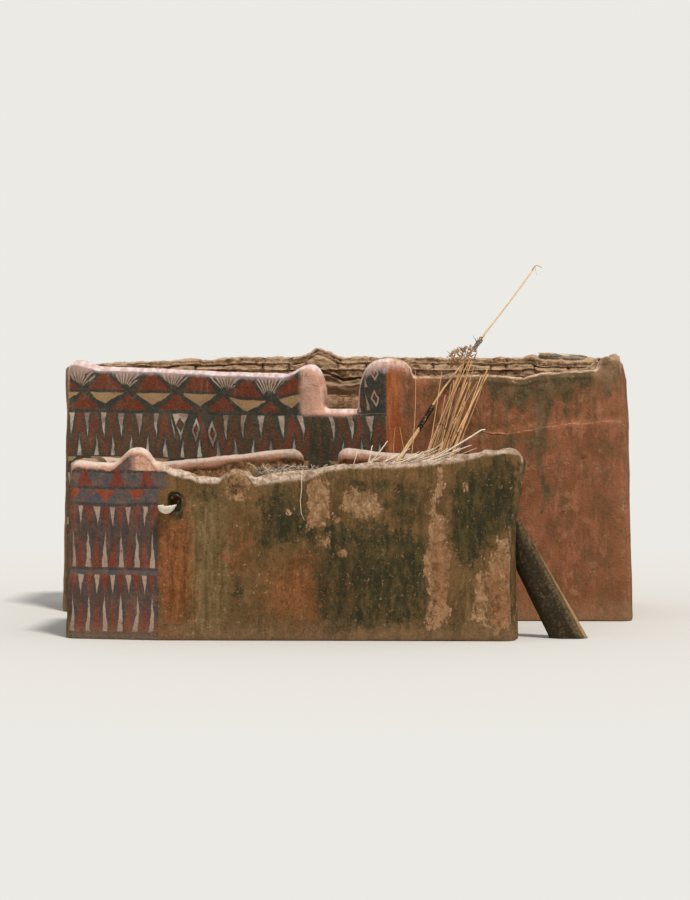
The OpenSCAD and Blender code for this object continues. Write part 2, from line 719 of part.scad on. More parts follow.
// Half-round spout that lies in the drain hole
module drain_spout() {
  r = drain_d / 2 - touch;
  color("antiquewhite")
    translate([annex_bend + drain_at, -annex_front - spout_out, drain_h])
      rotate([-90, 0, 0])
        difference() {
          cylinder(h = spout_out + annex_t - annex_seat_w, r = r, $fn = 32);
          translate([0, 0, -1]) cylinder(h = spout_out + annex_t, r = r - 12, $fn = 32);
          translate([-r - 1, -2 * r, -1]) cube([2 * r + 2, 2 * r, spout_out + annex_t + 2]);
        }
}

// Thick trunk that leans on the annex's right end, its top hewn flat against the wall
module leaning_log() {
  foot = [annex_right + log_out, -annex_front + log_back, 0];
  color("dimgray")
    difference() {
      translate(foot) rotate([0, -log_tilt, 0])
        translate([0, 0, -log_d]) cylinder(h = log_len + log_d, d1 = log_d, d2 = log_d * 0.65, $fn = 32);
      translate(foot - [2 * log_len, log_d, 2 * log_d]) cube([4 * log_len, 2 * log_d, 2 * log_d]);
      translate([annex_right - log_bevel - log_len, foot[1] - log_d, -1]) cube([log_len, 2 * log_d, 2 * log_len]);
    }
}

// Rod with a round section between two points, thinner at its upper end
module rod(from, to, d1, d2) {
  v = to - from;
  translate(from)
    rotate([0, acos(v[2] / norm(v)), atan2(v[1], v[0])]) cylinder(h = norm(v), d1 = d1, d2 = d2, $fn = 16);
}

// Point at the front of the red wall's rounded crest, and a point on the face below it
function crest_point(x) =
  let (high = red_top(x), shoulder = high - crest, outer = face(x, shoulder) + coat_set(x))
  [x, outer + (wall_t - seat_w - outer) / 2 * (1 - cos(30)), shoulder + crest / 2];
function face_point(x, z) = [x, face(x, z) + coat_set(x), z];

// Rod that stands on the annex roof, touches a point p of the red wall, reaches a distance
// beyond it, and drifts to the right as it goes back. feet is its foot's space to the back wall.
module leaning_rod(p, feet, drift, d1, d2, beyond) {
  run = p[1] + annex_gap + annex_t + feet;
  v = [drift * run, run, p[2] - annex_roof_h];
  u = v / norm(v);
  r = (d1 * beyond + d2 * norm(v)) / (beyond + norm(v)) / 2 + touch;
  q = p + [0, -u[2], u[1]] * (r / norm([u[1], u[2]]));
  foot = annex_roof_h + touch + d1 / 2 * sqrt(1 - u[2] * u[2]);
  rod(q - u * ((q[2] - foot) / u[2]), q + u * beyond, d1, d2);
}

module long_pole() {
  color("gray") leaning_rod(crest_point(pole_at), feet_at, pole_drift, long_pole_d, long_pole_d * 0.55, pole_beyond);
}

// The first stalks end on the face below the pole; the others lie over the crest beside it
module stalks() {
  under = 7;
  tip_d = stalk_d * 0.47;
  color("goldenrod")
    for (i = [0:stalk_count - 1])
      let (x = pole_at - 190 + 42 * i, drift = 0.27 + 0.008 * i)
      if (i < under)
        leaning_rod(face_point(x, coping_h - 190 + 20 * sin(i * 100)), feet_at + 60, drift, stalk_d, tip_d, 1);
      else
        leaning_rod(crest_point(x), feet_at, drift, stalk_d, tip_d, 200 + 70 * (i - under));
}

// The origin is below the middle of the whole part
outer_feet = [for (k = [0:4]) for (st = stations(house, k, wall_t, [], true, true)) st[0]];
x_mid = (min([for (p = outer_feet) p[0]]) + max([for (p = outer_feet) p[0]])) / 2;
y_mid = (house_depth - annex_front - spout_out) / 2;

translate([-x_mid, -y_mid, 0]) {
  house_floor();
  red_wall_left();
  red_wall_right();
  right_side_wall();
  back_wall_right();
  back_wall_over_door();
  back_wall_left();
  left_side_wall();
  painted_wall_left();
  painted_wall_horn();
  notch_wall();
  bend_horn_wall();
  worn_course_1();
  worn_course_2();
  worn_course_3();
  worn_course_4();
  house_beams();
  house_roof_poles();
  house_roof_earth();
  parapet_stick();
  annex_floor();
  annex_front_left();
  annex_front_middle();
  annex_front_right();
  annex_end_front();
  annex_end_over_door();
  annex_end_back();
  annex_back_right();
  annex_back_broken();
  annex_back_left();
  annex_left_end();
  annex_painted_wall();
  annex_beams();
  annex_roof_poles();
  annex_roof_earth();
  roof_rubble();
  brushwood();
  drain_spout();
  leaning_log();
  long_pole();
  stalks();
}
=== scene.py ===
"""Dresses the adobe house: hand-laid plaster, painted wing, worn parapet, brushwood, stalks and poles."""
import math
import random

import bmesh
import bpy
import numpy as np
from mathutils import Matrix, Vector


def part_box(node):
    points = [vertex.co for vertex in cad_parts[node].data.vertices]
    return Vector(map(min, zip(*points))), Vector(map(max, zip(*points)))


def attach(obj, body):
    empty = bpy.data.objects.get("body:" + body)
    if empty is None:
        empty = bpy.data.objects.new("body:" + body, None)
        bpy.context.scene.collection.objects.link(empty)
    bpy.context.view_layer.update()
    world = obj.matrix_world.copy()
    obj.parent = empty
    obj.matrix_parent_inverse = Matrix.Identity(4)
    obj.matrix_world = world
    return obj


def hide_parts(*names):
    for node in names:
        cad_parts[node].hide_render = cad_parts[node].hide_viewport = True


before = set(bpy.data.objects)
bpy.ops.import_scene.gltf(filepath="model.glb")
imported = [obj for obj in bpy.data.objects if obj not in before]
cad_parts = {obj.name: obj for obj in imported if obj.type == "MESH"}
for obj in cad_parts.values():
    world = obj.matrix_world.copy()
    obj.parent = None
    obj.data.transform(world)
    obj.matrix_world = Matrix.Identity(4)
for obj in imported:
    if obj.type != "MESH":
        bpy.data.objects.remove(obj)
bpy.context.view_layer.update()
BODY = "root"
CELL = 0.024
CREST_BIN = 0.04

# Driving sizes of the plan, in metres, as in the construction
RED_LEN, WING_LEN, WING_BACK, WING_SHIFT = 2.64, 3.55, 0.95, 0.13
DEPTH, WALL_T = 2.40, 0.40
ANNEX_GAP, ANNEX_DEPTH, ANNEX_RIGHT, ANNEX_LEFT = 0.55, 1.70, 1.42, 3.25
PAINTED_LEN, PAINTED_BACK, ANNEX_T = 0.99, 0.20, 0.28
HOUSE_ROOF, ANNEX_ROOF, COURSE = 2.17, 1.37, 0.14
NOTCH_START, NOTCH_END = 0.30, 0.68

BEND = np.array([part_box("right_side_wall")[1].x - RED_LEN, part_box("red_wall_left")[0].y])
HOUSE = BEND + np.array([
    (0, 0), (RED_LEN, 0), (RED_LEN, DEPTH), (WING_SHIFT - WING_LEN, DEPTH), (-WING_LEN, WING_BACK)])
ANNEX_FRONT = -ANNEX_GAP - ANNEX_DEPTH
ANNEX_BEND = PAINTED_LEN - ANNEX_LEFT
ANNEX = BEND + np.array([
    (ANNEX_BEND, ANNEX_FRONT), (ANNEX_RIGHT, ANNEX_FRONT), (ANNEX_RIGHT - 0.06, -ANNEX_GAP),
    (0.15 - ANNEX_LEFT, -ANNEX_GAP), (-ANNEX_LEFT, ANNEX_FRONT + PAINTED_BACK)])

# Edges of both outlines, and for each one the piece's name, its slot and its frame nodes
RED, RIGHT, BACK, LEFT, PAINTED = range(5)
HOUSE_SIDES = (
    (RED, "red_wall", "red_plaster", ["red_wall_left", "red_wall_right"]),
    (RIGHT, "right_wall", "side_plaster", ["right_side_wall"]),
    (BACK, "back_wall", "side_plaster", ["back_wall_right", "back_wall_over_door", "back_wall_left"]),
    (LEFT, "left_wall", "side_plaster", ["left_side_wall"]),
    (PAINTED, "painted_wing", "mural_plaster",
     ["painted_wall_left", "painted_wall_horn", "notch_wall", "bend_horn_wall"]))
ANNEX_SIDES = (
    (RED, "annex_front", "annex_plaster", ["annex_front_left", "annex_front_middle", "annex_front_right"]),
    (RIGHT, "annex_right_end", "annex_plaster",
     ["annex_end_front", "annex_end_over_door", "annex_end_back"]),
    (BACK, "annex_back", "annex_plaster", ["annex_back_right", "annex_back_broken", "annex_back_left"]),
    (LEFT, "annex_left", "annex_plaster", ["annex_left_end"]),
    (PAINTED, "annex_painted_end", "mural_plaster", ["annex_painted_wall"]))

# Paints of the wing, and the half width of their blurred edges in metres
SLATE, WING_RED, OCHRE = (62, 63, 54), (114, 58, 38), (168, 132, 94)
SOFT_EDGE = 0.006


def place(x, y, z):
    """Point given from the bend of the house front."""
    return np.array([BEND[0] + x, BEND[1] + y, z])


# Noise on arrays of points

def lattice(cell, seed):
    """Random value from 0 to 1 for each whole-number cell."""
    mixed = (cell * np.array([374761393, 668265263, 1274126177])).sum(-1) + seed * 974634777
    mixed = (mixed & 0xFFFFFFFF).astype(np.uint64)
    mixed = ((mixed ^ (mixed >> np.uint64(13))) * np.uint64(1274126177)) & np.uint64(0xFFFFFFFF)
    mixed = mixed ^ (mixed >> np.uint64(16))
    return (mixed & np.uint64(0xFFFF)).astype(float) / 65535


def value_noise(points, seed):
    base = np.floor(points)
    t = points - base
    t = t * t * (3 - 2 * t)
    base = base.astype(np.int64)
    total = np.zeros(len(points))
    for corner in np.ndindex(2, 2, 2):
        weight = np.prod(np.where(np.array(corner, bool), t, 1 - t), axis=1)
        total += weight * lattice(base + np.array(corner), seed)
    return 2 * total - 1


def fbm(points, per_metre, seed, octaves=3):
    """Layered noise from about -1 to 1. per_metre is one number or one for each axis."""
    scaled = points * np.array(per_metre, float)
    return sum(value_noise(scaled * 2 ** i + 17 * i, seed + i) * 0.5 ** i for i in range(octaves)) / 1.5


def smoothstep(x, low, high):
    t = np.clip((x - low) / (high - low), 0, 1)
    return t * t * (3 - 2 * t)


# Meshes

def make_mesh(name, points, faces):
    """Mesh from an array of points and an array of faces with equal numbers of corners."""
    mesh = bpy.data.meshes.new(name)
    mesh.vertices.add(len(points))
    mesh.vertices.foreach_set("co", np.asarray(points, np.float32).ravel())
    mesh.loops.add(faces.size)
    mesh.loops.foreach_set("vertex_index", faces.astype(np.int32).ravel())
    mesh.polygons.add(len(faces))
    mesh.polygons.foreach_set("loop_start", np.arange(0, faces.size, faces.shape[1], dtype=np.int32))
    mesh.update(calc_edges=True)
    return mesh


def read_mesh(items, name, size, kind, width=3):
    """One property of a mesh's items, with size numbers for each, in rows of the given width."""
    values = np.empty(len(items) * size, kind)
    items.foreach_get(name, values)
    return values.reshape(-1, width)


def link(name, item):
    """Object of the scene that shows a mesh, or carries a camera or lamp."""
    made = bpy.data.objects.new(name, item)
    bpy.context.scene.collection.objects.link(made)
    return made


def piece(name, slot, mesh, material, values, normals=None, replaces=()):
    """Object of the house that rides on its body, with one number per point under each name in values."""
    for key, numbers in values.items():
        attribute = mesh.attributes.new(key, "FLOAT", "POINT")
        attribute.data.foreach_set("value", np.asarray(numbers, np.float32))
    mesh.materials.append(material)
    mesh.shade_smooth()
    if normals is not None:
        mesh.normals_split_custom_set_from_vertices(normals.tolist())
    made = link(name, mesh)
    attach(made, BODY)
    if replaces:
        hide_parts(*replaces)


def sum_rows(index, rows, count):
    """Sum of the rows that belong to each of count points."""
    return np.stack([np.bincount(index, column, count) for column in rows.T], 1)


class Shell:
    """Several frame nodes joined into one closed skin of small four-sided faces."""

    def __init__(self, nodes, cell, relax=3, blobs=()):
        points, triangles, start = [], [], 0
        for node in nodes:
            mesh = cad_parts[node].data
            mesh.calc_loop_triangles()
            points.append(read_mesh(mesh.vertices, "co", 3, np.float32))
            triangles.append(read_mesh(mesh.loop_triangles, "vertices", 3, np.int32) + start)
            start += len(mesh.vertices)
        base, sides = ball()
        for centre, radii in blobs:
            points.append(np.array(base) * radii + place(*centre))
            triangles.append(np.array(sides) + start)
            start += len(base)
        source = link("cells", make_mesh("cells", np.concatenate(points), np.concatenate(triangles)))
        modifier = source.modifiers.new("cells", "REMESH")
        modifier.mode = "VOXEL"
        modifier.voxel_size = cell
        skin = source.evaluated_get(bpy.context.evaluated_depsgraph_get()).to_mesh()
        self.points = read_mesh(skin.vertices, "co", 3, np.float32).astype(float)
        self.faces = read_mesh(skin.loops, "vertex_index", 1, np.int32, width=4)
        bpy.data.objects.remove(source)
        self.relax(relax)

    def relax(self, times):
        """Smooths the stairs of the cells without shrinking: each step in is followed by one out."""
        starts = self.faces.ravel()
        stops = np.roll(self.faces, -1, axis=1).ravel()
        ends, others = np.concatenate([starts, stops]), np.concatenate([stops, starts])
        count = np.bincount(ends, minlength=len(self.points))[:, None]
        for amount in (0.55, -0.56) * times:
            middle = sum_rows(ends, self.points[others], len(self.points)) / count
            self.points += (middle - self.points) * amount

    def normals(self):
        corners = self.points[self.faces]
        across = np.cross(corners[:, 2] - corners[:, 0], corners[:, 3] - corners[:, 1])
        total = sum_rows(self.faces.ravel(), np.repeat(across, 4, axis=0), len(self.points))
        return total / np.maximum(np.linalg.norm(total, axis=1), 1e-12)[:, None]

    def part(self, name, slot, material, replaces, values, chosen=None):
        """Piece made of the chosen faces, or of all of them."""
        faces = self.faces if chosen is None else self.faces[chosen]
        used, index = np.unique(faces, return_inverse=True)
        mesh = make_mesh(name, self.points[used], index.reshape(-1, 4))
        normal = self.normals()
        values = dict(values, up=normal[:, 2])
        numbers = {key: value[used] for key, value in values.items()}
        piece(name, slot, mesh, material, numbers, normal[used], replaces)


def edges_of(outline):
    """Direction, length and inward side of each edge of an outline."""
    step = np.roll(outline, -1, axis=0) - outline
    length = np.linalg.norm(step, axis=1)
    along = step / length[:, None]
    return along, length, np.stack([-along[:, 1], along[:, 0]], 1)


def locate(points, outline):
    """Nearest edge of an outline for each point, the distance along it, and the depth behind it."""
    direction, _, inward = edges_of(outline)
    offset = points[:, None, :2] - outline[None]
    depth = (offset * inward).sum(2)
    along = (offset * direction).sum(2)
    edge = depth.argmin(1)
    rows = np.arange(len(points))
    return edge, along[rows, edge], depth[rows, edge]


def crest_of(edge, along, z):
    """Height of the wall's top above each point, read from the points in short bins along each edge."""
    top = np.zeros(len(z))
    for number in range(5):
        mine = edge == number
        if not mine.any():
            continue
        index = (along[mine] / CREST_BIN).astype(int)
        first = index.min()
        index -= first
        highest = np.zeros(index.max() + 1)
        np.maximum.at(highest, index, z[mine])
        known = highest > 0
        places = np.arange(len(highest))
        highest = np.interp(places, places[known], highest[known])
        top[mine] = np.interp(along[mine] / CREST_BIN - first, places + 0.5, highest)
    return top


class Walls(Shell):
    """Skin of the walls that stand on an outline, and where each of its points lies on them."""

    def __init__(self, sides, cell, outline, blobs=()):
        super().__init__([node for side in sides for node in side[3]], cell, blobs=blobs)
        self.sides = sides
        self.direction, length, inward = edges_of(outline)
        self.edge, self.along, self.depth = locate(self.points, outline)
        self.normal = self.normals()
        self.facing = -(self.normal[:, :2] * inward[self.edge]).sum(1)
        self.x, self.y, self.z = (self.points - (BEND[0], BEND[1], 0)).T
        self.below = crest_of(self.edge, self.along, self.z) - self.z
        after_bend = np.where(self.edge == RED, self.along, length[RED] + self.along)
        self.run = np.where(self.edge == PAINTED, self.along - length[PAINTED], after_bend)

    def build(self, material, values):
        """One piece for each side of the outline."""
        values = dict(values, run=self.run, below=self.below, facing=self.facing)
        edge_of_face = self.edge[self.faces[:, 0]]
        for edge, name, slot, nodes in self.sides:
            self.part(name, slot, material, nodes, values, edge_of_face == edge)


def ball():
    """Points and triangles of a ball with 42 points."""
    shape = bmesh.new()
    bmesh.ops.create_icosphere(shape, subdivisions=2, radius=1)
    made = [tuple(v.co) for v in shape.verts], [tuple(v.index for v in f.verts) for f in shape.faces]
    shape.free()
    return made


class Bundle:
    """Many small rods, leaves and lumps gathered into one mesh, with a tone for each."""

    def __init__(self):
        self.points, self.faces, self.tone = [], [], []
        self.ball = ball()

    def add(self, points, faces, tone):
        start = len(self.points)
        self.points += [tuple(p) for p in points]
        self.faces += [tuple(start + i for i in f) for f in faces]
        self.tone += [tone] * len(points)

    def add_rings(self, rings, tone, caps=None):
        """Closed tube through rings of points. caps are the faces of its ends, as a ring's point numbers."""
        count = len(rings[0])
        last = (len(rings) - 1) * count
        corners = ((0, 0), (0, 1), (1, 1), (1, 0))
        faces = [tuple((i + step) * count + (j + turn) % count for step, turn in corners)
                 for i in range(len(rings) - 1) for j in range(count)]
        for cap in caps or [range(count)]:
            faces += [tuple(reversed(cap)), tuple(last + j for j in cap)]
        self.add([p for ring in rings for p in ring], faces, tone)

    def rod(self, path, radii, tone, sides=5):
        """Tube along a path, with a flat end at both tips."""
        path = [Vector(p) for p in path]
        neighbours = zip(path[:1] + path, path[1:] + path[-1:])
        heading = [(after - before).normalized() for before, after in neighbours]
        side = heading[0].orthogonal().normalized()
        turns = [(math.cos(a), math.sin(a)) for a in (2 * math.pi * j / sides for j in range(sides))]
        rings = []
        for centre, ahead, radius in zip(path, heading, radii):
            side = (side - ahead * side.dot(ahead)).normalized()
            other = ahead.cross(side)
            rings.append([centre + side * (radius * right) + other * (radius * up) for right, up in turns])
        self.add_rings(rings, tone)

    def leaf(self, path, widths, facing, tone):
        """Thin strip along a path, with its width across the facing direction."""
        path = [Vector(p) for p in path]
        rings = []
        for before, p, after, width in zip(path[:1] + path, path, path[1:] + path[-1:], widths):
            ahead = (after - before).normalized()
            across = ahead.cross(Vector(facing)).normalized() * (width / 2)
            lift = across.cross(ahead).normalized() * 0.0008
            rings.append([p - across + lift, p + across + lift, p + across - lift, p - across - lift])
        self.add_rings(rings, tone)

    def lump(self, centre, size, tone, dice):
        """Rough clod: a ball of 42 points with uneven radii."""
        base, faces = self.ball
        stretch = [size * dice.uniform(0.7, 1.25) for _ in range(3)]
        turn = Matrix.Rotation(dice.uniform(0, 6.28), 3, "Z")
        turn = turn @ Matrix.Rotation(dice.uniform(-0.5, 0.5), 3, "X")
        uneven = [Vector([p[i] * stretch[i] * dice.uniform(0.86, 1.12) for i in range(3)]) for p in base]
        points = [Vector(centre) + turn @ p for p in uneven]
        self.add(points, faces, tone)

    def build(self, name, slot, material, replaces=()):
        mesh = bpy.data.meshes.new(name)
        mesh.from_pydata(self.points, [], self.faces)
        piece(name, slot, mesh, material, {"tone": self.tone}, replaces=replaces)


# Materials

def rgb(red, green, blue):
    """Colour written as it looks on a screen, 0 to 255, as the shader's linear values."""
    return tuple(c / 12.92 if c <= 0.04045 else ((c + 0.055) / 1.055) ** 2.4
                 for c in (red / 255, green / 255, blue / 255)) + (1,)


class Value:
    """Output of a node that takes part in arithmetic."""

    def __init__(self, paint, socket):
        self.paint, self.socket = paint, socket

    def __add__(self, other):
        return self.paint.math("ADD", self, other)

    __radd__ = __add__

    def __sub__(self, other):
        return self.paint.math("SUBTRACT", self, other)

    def __rsub__(self, other):
        return self.paint.math("SUBTRACT", other, self)

    def __mul__(self, other):
        return self.paint.math("MULTIPLY", self, other)

    def __truediv__(self, other):
        return self.paint.math("DIVIDE", self, other)

    def __abs__(self):
        return self.paint.math("ABSOLUTE", self)


class Paint:
    """A material whose nodes are written as formulas. Colours are written as they look, 0 to 255."""

    def __init__(self, name):
        self.material = bpy.data.materials.new(name)
        self.material.use_nodes = True
        self.tree = self.material.node_tree
        self.shader = self.tree.nodes["Principled BSDF"]
        self.place = self.node("TexCoord").outputs["Object"]
        split = self.node("SeparateXYZ", self.place)
        self.x, self.y, self.z = (Value(self, split.outputs[i]) for i in range(3))

    def put(self, socket, value):
        """Links a value to a socket, or sets the socket itself to a number."""
        if isinstance(value, Value):
            self.tree.links.new(value.socket, socket)
        elif hasattr(value, "is_output"):
            self.tree.links.new(value, socket)
        else:
            socket.default_value = value

    def node(self, kind, *values, **settings):
        """New node with its settings, and values in its first sockets."""
        node = self.tree.nodes.new("ShaderNode" + kind)
        for name, setting in settings.items():
            setattr(node, name, setting)
        for socket, value in zip(node.inputs, values):
            self.put(socket, value)
        return node

    def math(self, operation, *values):
        return Value(self, self.node("Math", *values, operation=operation).outputs[0])

    def numbers(self, *names):
        """Numbers stored on the mesh under these names."""
        return [Value(self, self.node("Attribute", attribute_name=name).outputs["Fac"]) for name in names]

    def ramp(self, value, low, high, shape="SMOOTHSTEP"):
        """0 below low and 1 above high, smooth between. low may be above high."""
        node = self.node("MapRange", value, low, high, 0.0, 1.0, interpolation_type=shape)
        return Value(self, node.outputs[0])

    def line(self, value, low, high):
        """0 at low and 1 at high, straight between."""
        return self.ramp(value, low, high, "LINEAR")

    def most(self, first, second):
        return self.math("MAXIMUM", first, second)

    def noise(self, per_metre, detail=4.0, rough=0.55, stretch=(1, 1, 1), shift=0.0):
        """Noise about 0.5. stretch multiplies the coordinates, so 0.1 on an axis draws streaks along it."""
        moved = (shift, shift * 1.7, -shift)
        scaled = self.node("VectorMath", self.place, stretch, moved, operation="MULTIPLY_ADD")
        node = self.node("TexNoise", scaled.outputs[0])
        for name, value in (("Scale", per_metre), ("Detail", detail), ("Roughness", rough)):
            node.inputs[name].default_value = value
        return Value(self, node.outputs["Fac"])

    def veins(self, per_metre, width, shift=0.0):
        """1 on thin wandering lines."""
        return self.ramp(abs(self.noise(per_metre, 6.0, 0.6, shift=shift) - 0.5), width, width * 0.25)

    def mix(self, amount, first, second):
        """First colour at 0 and second at 1."""
        node = self.node("Mix", amount, data_type="RGBA")
        for socket, tint in zip(node.inputs[6:8], (first, second)):
            self.put(socket, rgb(*tint) if isinstance(tint, tuple) else tint)
        return Value(self, node.outputs[2])

    def blend(self, source, low, high, first, second):
        """First colour where the source is below low and second where it is above high."""
        return self.mix(self.ramp(source, low, high), first, second)

    def over(self, colour, *layers):
        """Layers laid over a colour in turn, each as source, low and high, strength and colour."""
        for source, low, high, strength, tint in layers:
            colour = self.mix(self.ramp(source, low, high) * strength, colour, tint)
        return colour

    def shade(self, colour, amount):
        """Colour made lighter or darker by a factor about 1."""
        source = rgb(*colour)[:3] if isinstance(colour, tuple) else colour
        node = self.node("VectorMath", source, operation="SCALE")
        self.put(node.inputs["Scale"], amount)
        return Value(self, node.outputs[0])

    def finish(self, colour, roughness, height, depth, specular):
        """Sets the shader. height is a number about 0 to 1 that stands for depth metres."""
        self.put(self.shader.inputs["Base Color"], colour)
        self.shader.inputs["Roughness"].default_value = roughness
        self.shader.inputs["Specular IOR Level"].default_value = specular
        bump = self.node("Bump")
        bump.inputs["Strength"].default_value = 1.0
        bump.inputs["Distance"].default_value = depth
        self.put(bump.inputs["Height"], height)
        self.put(self.shader.inputs["Normal"], bump.outputs[0])
        return self.material


class Mural:
    """Rows of painted motifs. x runs along the wall and z is the height."""

    def __init__(self, paint, x, z):
        self.paint = paint
        sway = paint.noise(2.2, 3.0, shift=3.1) - 0.5
        shake = paint.noise(24.0, 3.0, shift=9.2) - 0.5
        self.x = x + sway * 0.09 + shake * 0.016
        self.z = z + (paint.noise(1.7, 3.0, shift=6.4) - 0.5) * 0.07 + shake * 0.014
        self.uneven = (paint.noise(6.0, 2.0, shift=2.2) - 0.5) * 1.1 + 1.0
        self.colour = SLATE

    def turn(self, period, centre):
        """Share of the way from one motif's middle to the next, from -0.5 to 0.5."""
        return self.paint.math("FRACT", self.x / period + (0.5 - centre / period)) - 0.5

    def lay(self, mask, tint):
        self.colour = self.paint.mix(mask, self.colour, tint)

    def triangles(self, tint, period, centre, tip, base, width, where=1.0):
        """Row of triangles from their tips to their bases. width is the base's share of the period."""
        ramp = self.paint.ramp
        height = self.paint.line(self.z, tip, base) * self.uneven
        inside = ramp(height * width - abs(self.turn(period, centre)) * 2.0, 0.0, 0.016 / period) * where
        side = SOFT_EDGE if base > tip else -SOFT_EDGE
        self.lay(inside * ramp(self.z, base + side, base - side), tint)

    def lozenge(self, tint, centre, half_x, half_z, grow=0.0, where=1.0):
        """One lozenge about a point. grow moves its sides outwards."""
        inside = 1.0 - abs(self.x - centre[0]) / half_x - abs(self.z - centre[1]) / half_z
        self.lay(self.paint.ramp(inside, -grow, 0.08 - grow) * where, tint)

    def band(self, tint, low, high):
        ramp = self.paint.ramp
        above = ramp(self.z, low - SOFT_EDGE, low + SOFT_EDGE)
        self.lay(above * ramp(self.z, high + SOFT_EDGE, high - SOFT_EDGE), tint)

    def fans(self, tint, period, centre, focus, inner, outer):
        """Strokes that spread upwards from a focus below, wider at their outer ends."""
        ramp, math = self.paint.ramp, self.paint.math
        across = self.turn(period, centre) * period
        up = self.z - focus
        angle = math("ARCTAN2", across, up)
        radius = math("SQRT", across * across + up * up)
        stroke = ramp(abs(math("FRACT", angle * 4.4 + 20.5 + (self.uneven - 1.0)) - 0.5), 0.34, 0.16)
        inside = ramp(radius, inner, inner + 0.02) * ramp(radius, outer, outer - 0.02)
        self.lay(stroke * inside * ramp(abs(angle), 0.98, 0.9), tint)


def upper_row(mural, chalk):
    """Fans under the coping, over wide triangles of slate, red and ochre."""
    paint, x, z = mural.paint, mural.x, mural.z
    ramp, wide, fan_at = paint.ramp, 0.535, 1.3075
    mural.z = z + ramp(x, 1.95, 1.60) * ramp(x, 0.85, 1.35) * 0.062
    mural.x = x - 0.046 + ramp(x, 2.15, 1.95) * 0.092 - ramp(x, 1.5, 1.35) * 0.046
    rose = paint.blend(z, 2.46, 2.66, (96, 80, 68), (166, 136, 118))
    mural.triangles(rose, wide, fan_at, 2.455, 2.72, 0.90)
    mural.fans(paint.mix(0.5, (178, 154, 134), chalk), wide, fan_at, 2.415, 0.07, 0.27)
    mural.x = x
    mural.triangles(SLATE, wide, 1.04, 2.70, 2.40, 0.98)
    mural.triangles(WING_RED, wide, 1.04, 2.635, 2.425, 0.76)
    mural.band(SLATE, 2.365, 2.425)
    mural.triangles(OCHRE, wide, 1.02, 2.265, 2.395, 0.78)
    mural.triangles(WING_RED, wide, 1.29, 2.395, 2.215, 0.76)


def lower_rows(mural, chalk):
    """Three rows of narrow chalk triangles, with lozenges among them and a bare strip by the notch."""
    paint, x = mural.paint, mural.x
    ramp, wide, period, hanging, standing = paint.ramp, 0.535, 0.1975, 0.214, 0.31
    mural.x = x + ramp(x, 1.36, 1.02) * 0.065 - ramp(x, 0.85, 0.70) * 0.035
    weathered = paint.noise(6.5, 4.0, 0.6, stretch=(1, 1, 0.4), shift=14.0)
    deep = paint.blend(weathered, 0.42, 0.60, (92, 68, 50), (118, 66, 46))
    bare = ramp(mural.x, 0.64, 0.67) * ramp(mural.x, 0.95, 0.92)
    lozenges = ramp(mural.x, 1.84, 1.87) * ramp(mural.x, 2.40, 2.37)
    shown = (1.0 - lozenges) * (1.0 - bare)
    shadow = (72, 72, 60)
    for drop in (0.0, 0.66, 1.32):
        top, low = 2.185 - drop, 1.70 - drop
        mural.band(deep, low, top)
        mural.triangles(shadow, period, hanging, top - 0.38, top + 0.01, 0.86)
        mural.triangles(shadow, period, standing, low + 0.33, low - 0.01, 0.80)
        mural.triangles(chalk, period, hanging, top - 0.29, top - 0.01, 0.37, shown)
        mural.triangles(chalk, period, standing, low + 0.25, low + 0.01, 0.30, 1.0 - bare)
        # x and z of each lozenge, its half width and height, and z of its red eye
        for across, z, half_x, half_z, eye in (
                (2.134, 2.01, 0.045, 0.14, 2.01), (1.95, 1.975, 0.060, 0.15, 1.975),
                (2.31, 2.17, 0.092, 0.28, 2.055)):
            for tint, grow in ((SLATE, 0.35), (chalk, 0.0)):
                mural.lozenge(tint, (across, z - drop), half_x, half_z, grow, ramp(mural.z, top, top - 0.01))
            for tint, grow in ((SLATE, -0.44), (WING_RED, -0.70)):
                mural.lozenge(tint, (across, eye - drop), half_x, 0.15, grow)
        mural.band(SLATE, top - 0.008, top + 0.03)
        mural.band(SLATE, low - 0.03, low + 0.008)
        if drop:
            mural.triangles(OCHRE, wide, 1.02, top + 0.04, top + 0.17, 0.70)
            mural.triangles(WING_RED, wide, 1.29, top + 0.18, top + 0.03, 0.72)
    streaks = paint.noise(18.0, 4.0, 0.6, stretch=(1, 1, 0.15), shift=4.5)
    mural.lay(bare * 0.9, paint.blend(streaks, 0.44, 0.60, (64, 62, 46), (92, 66, 44)))


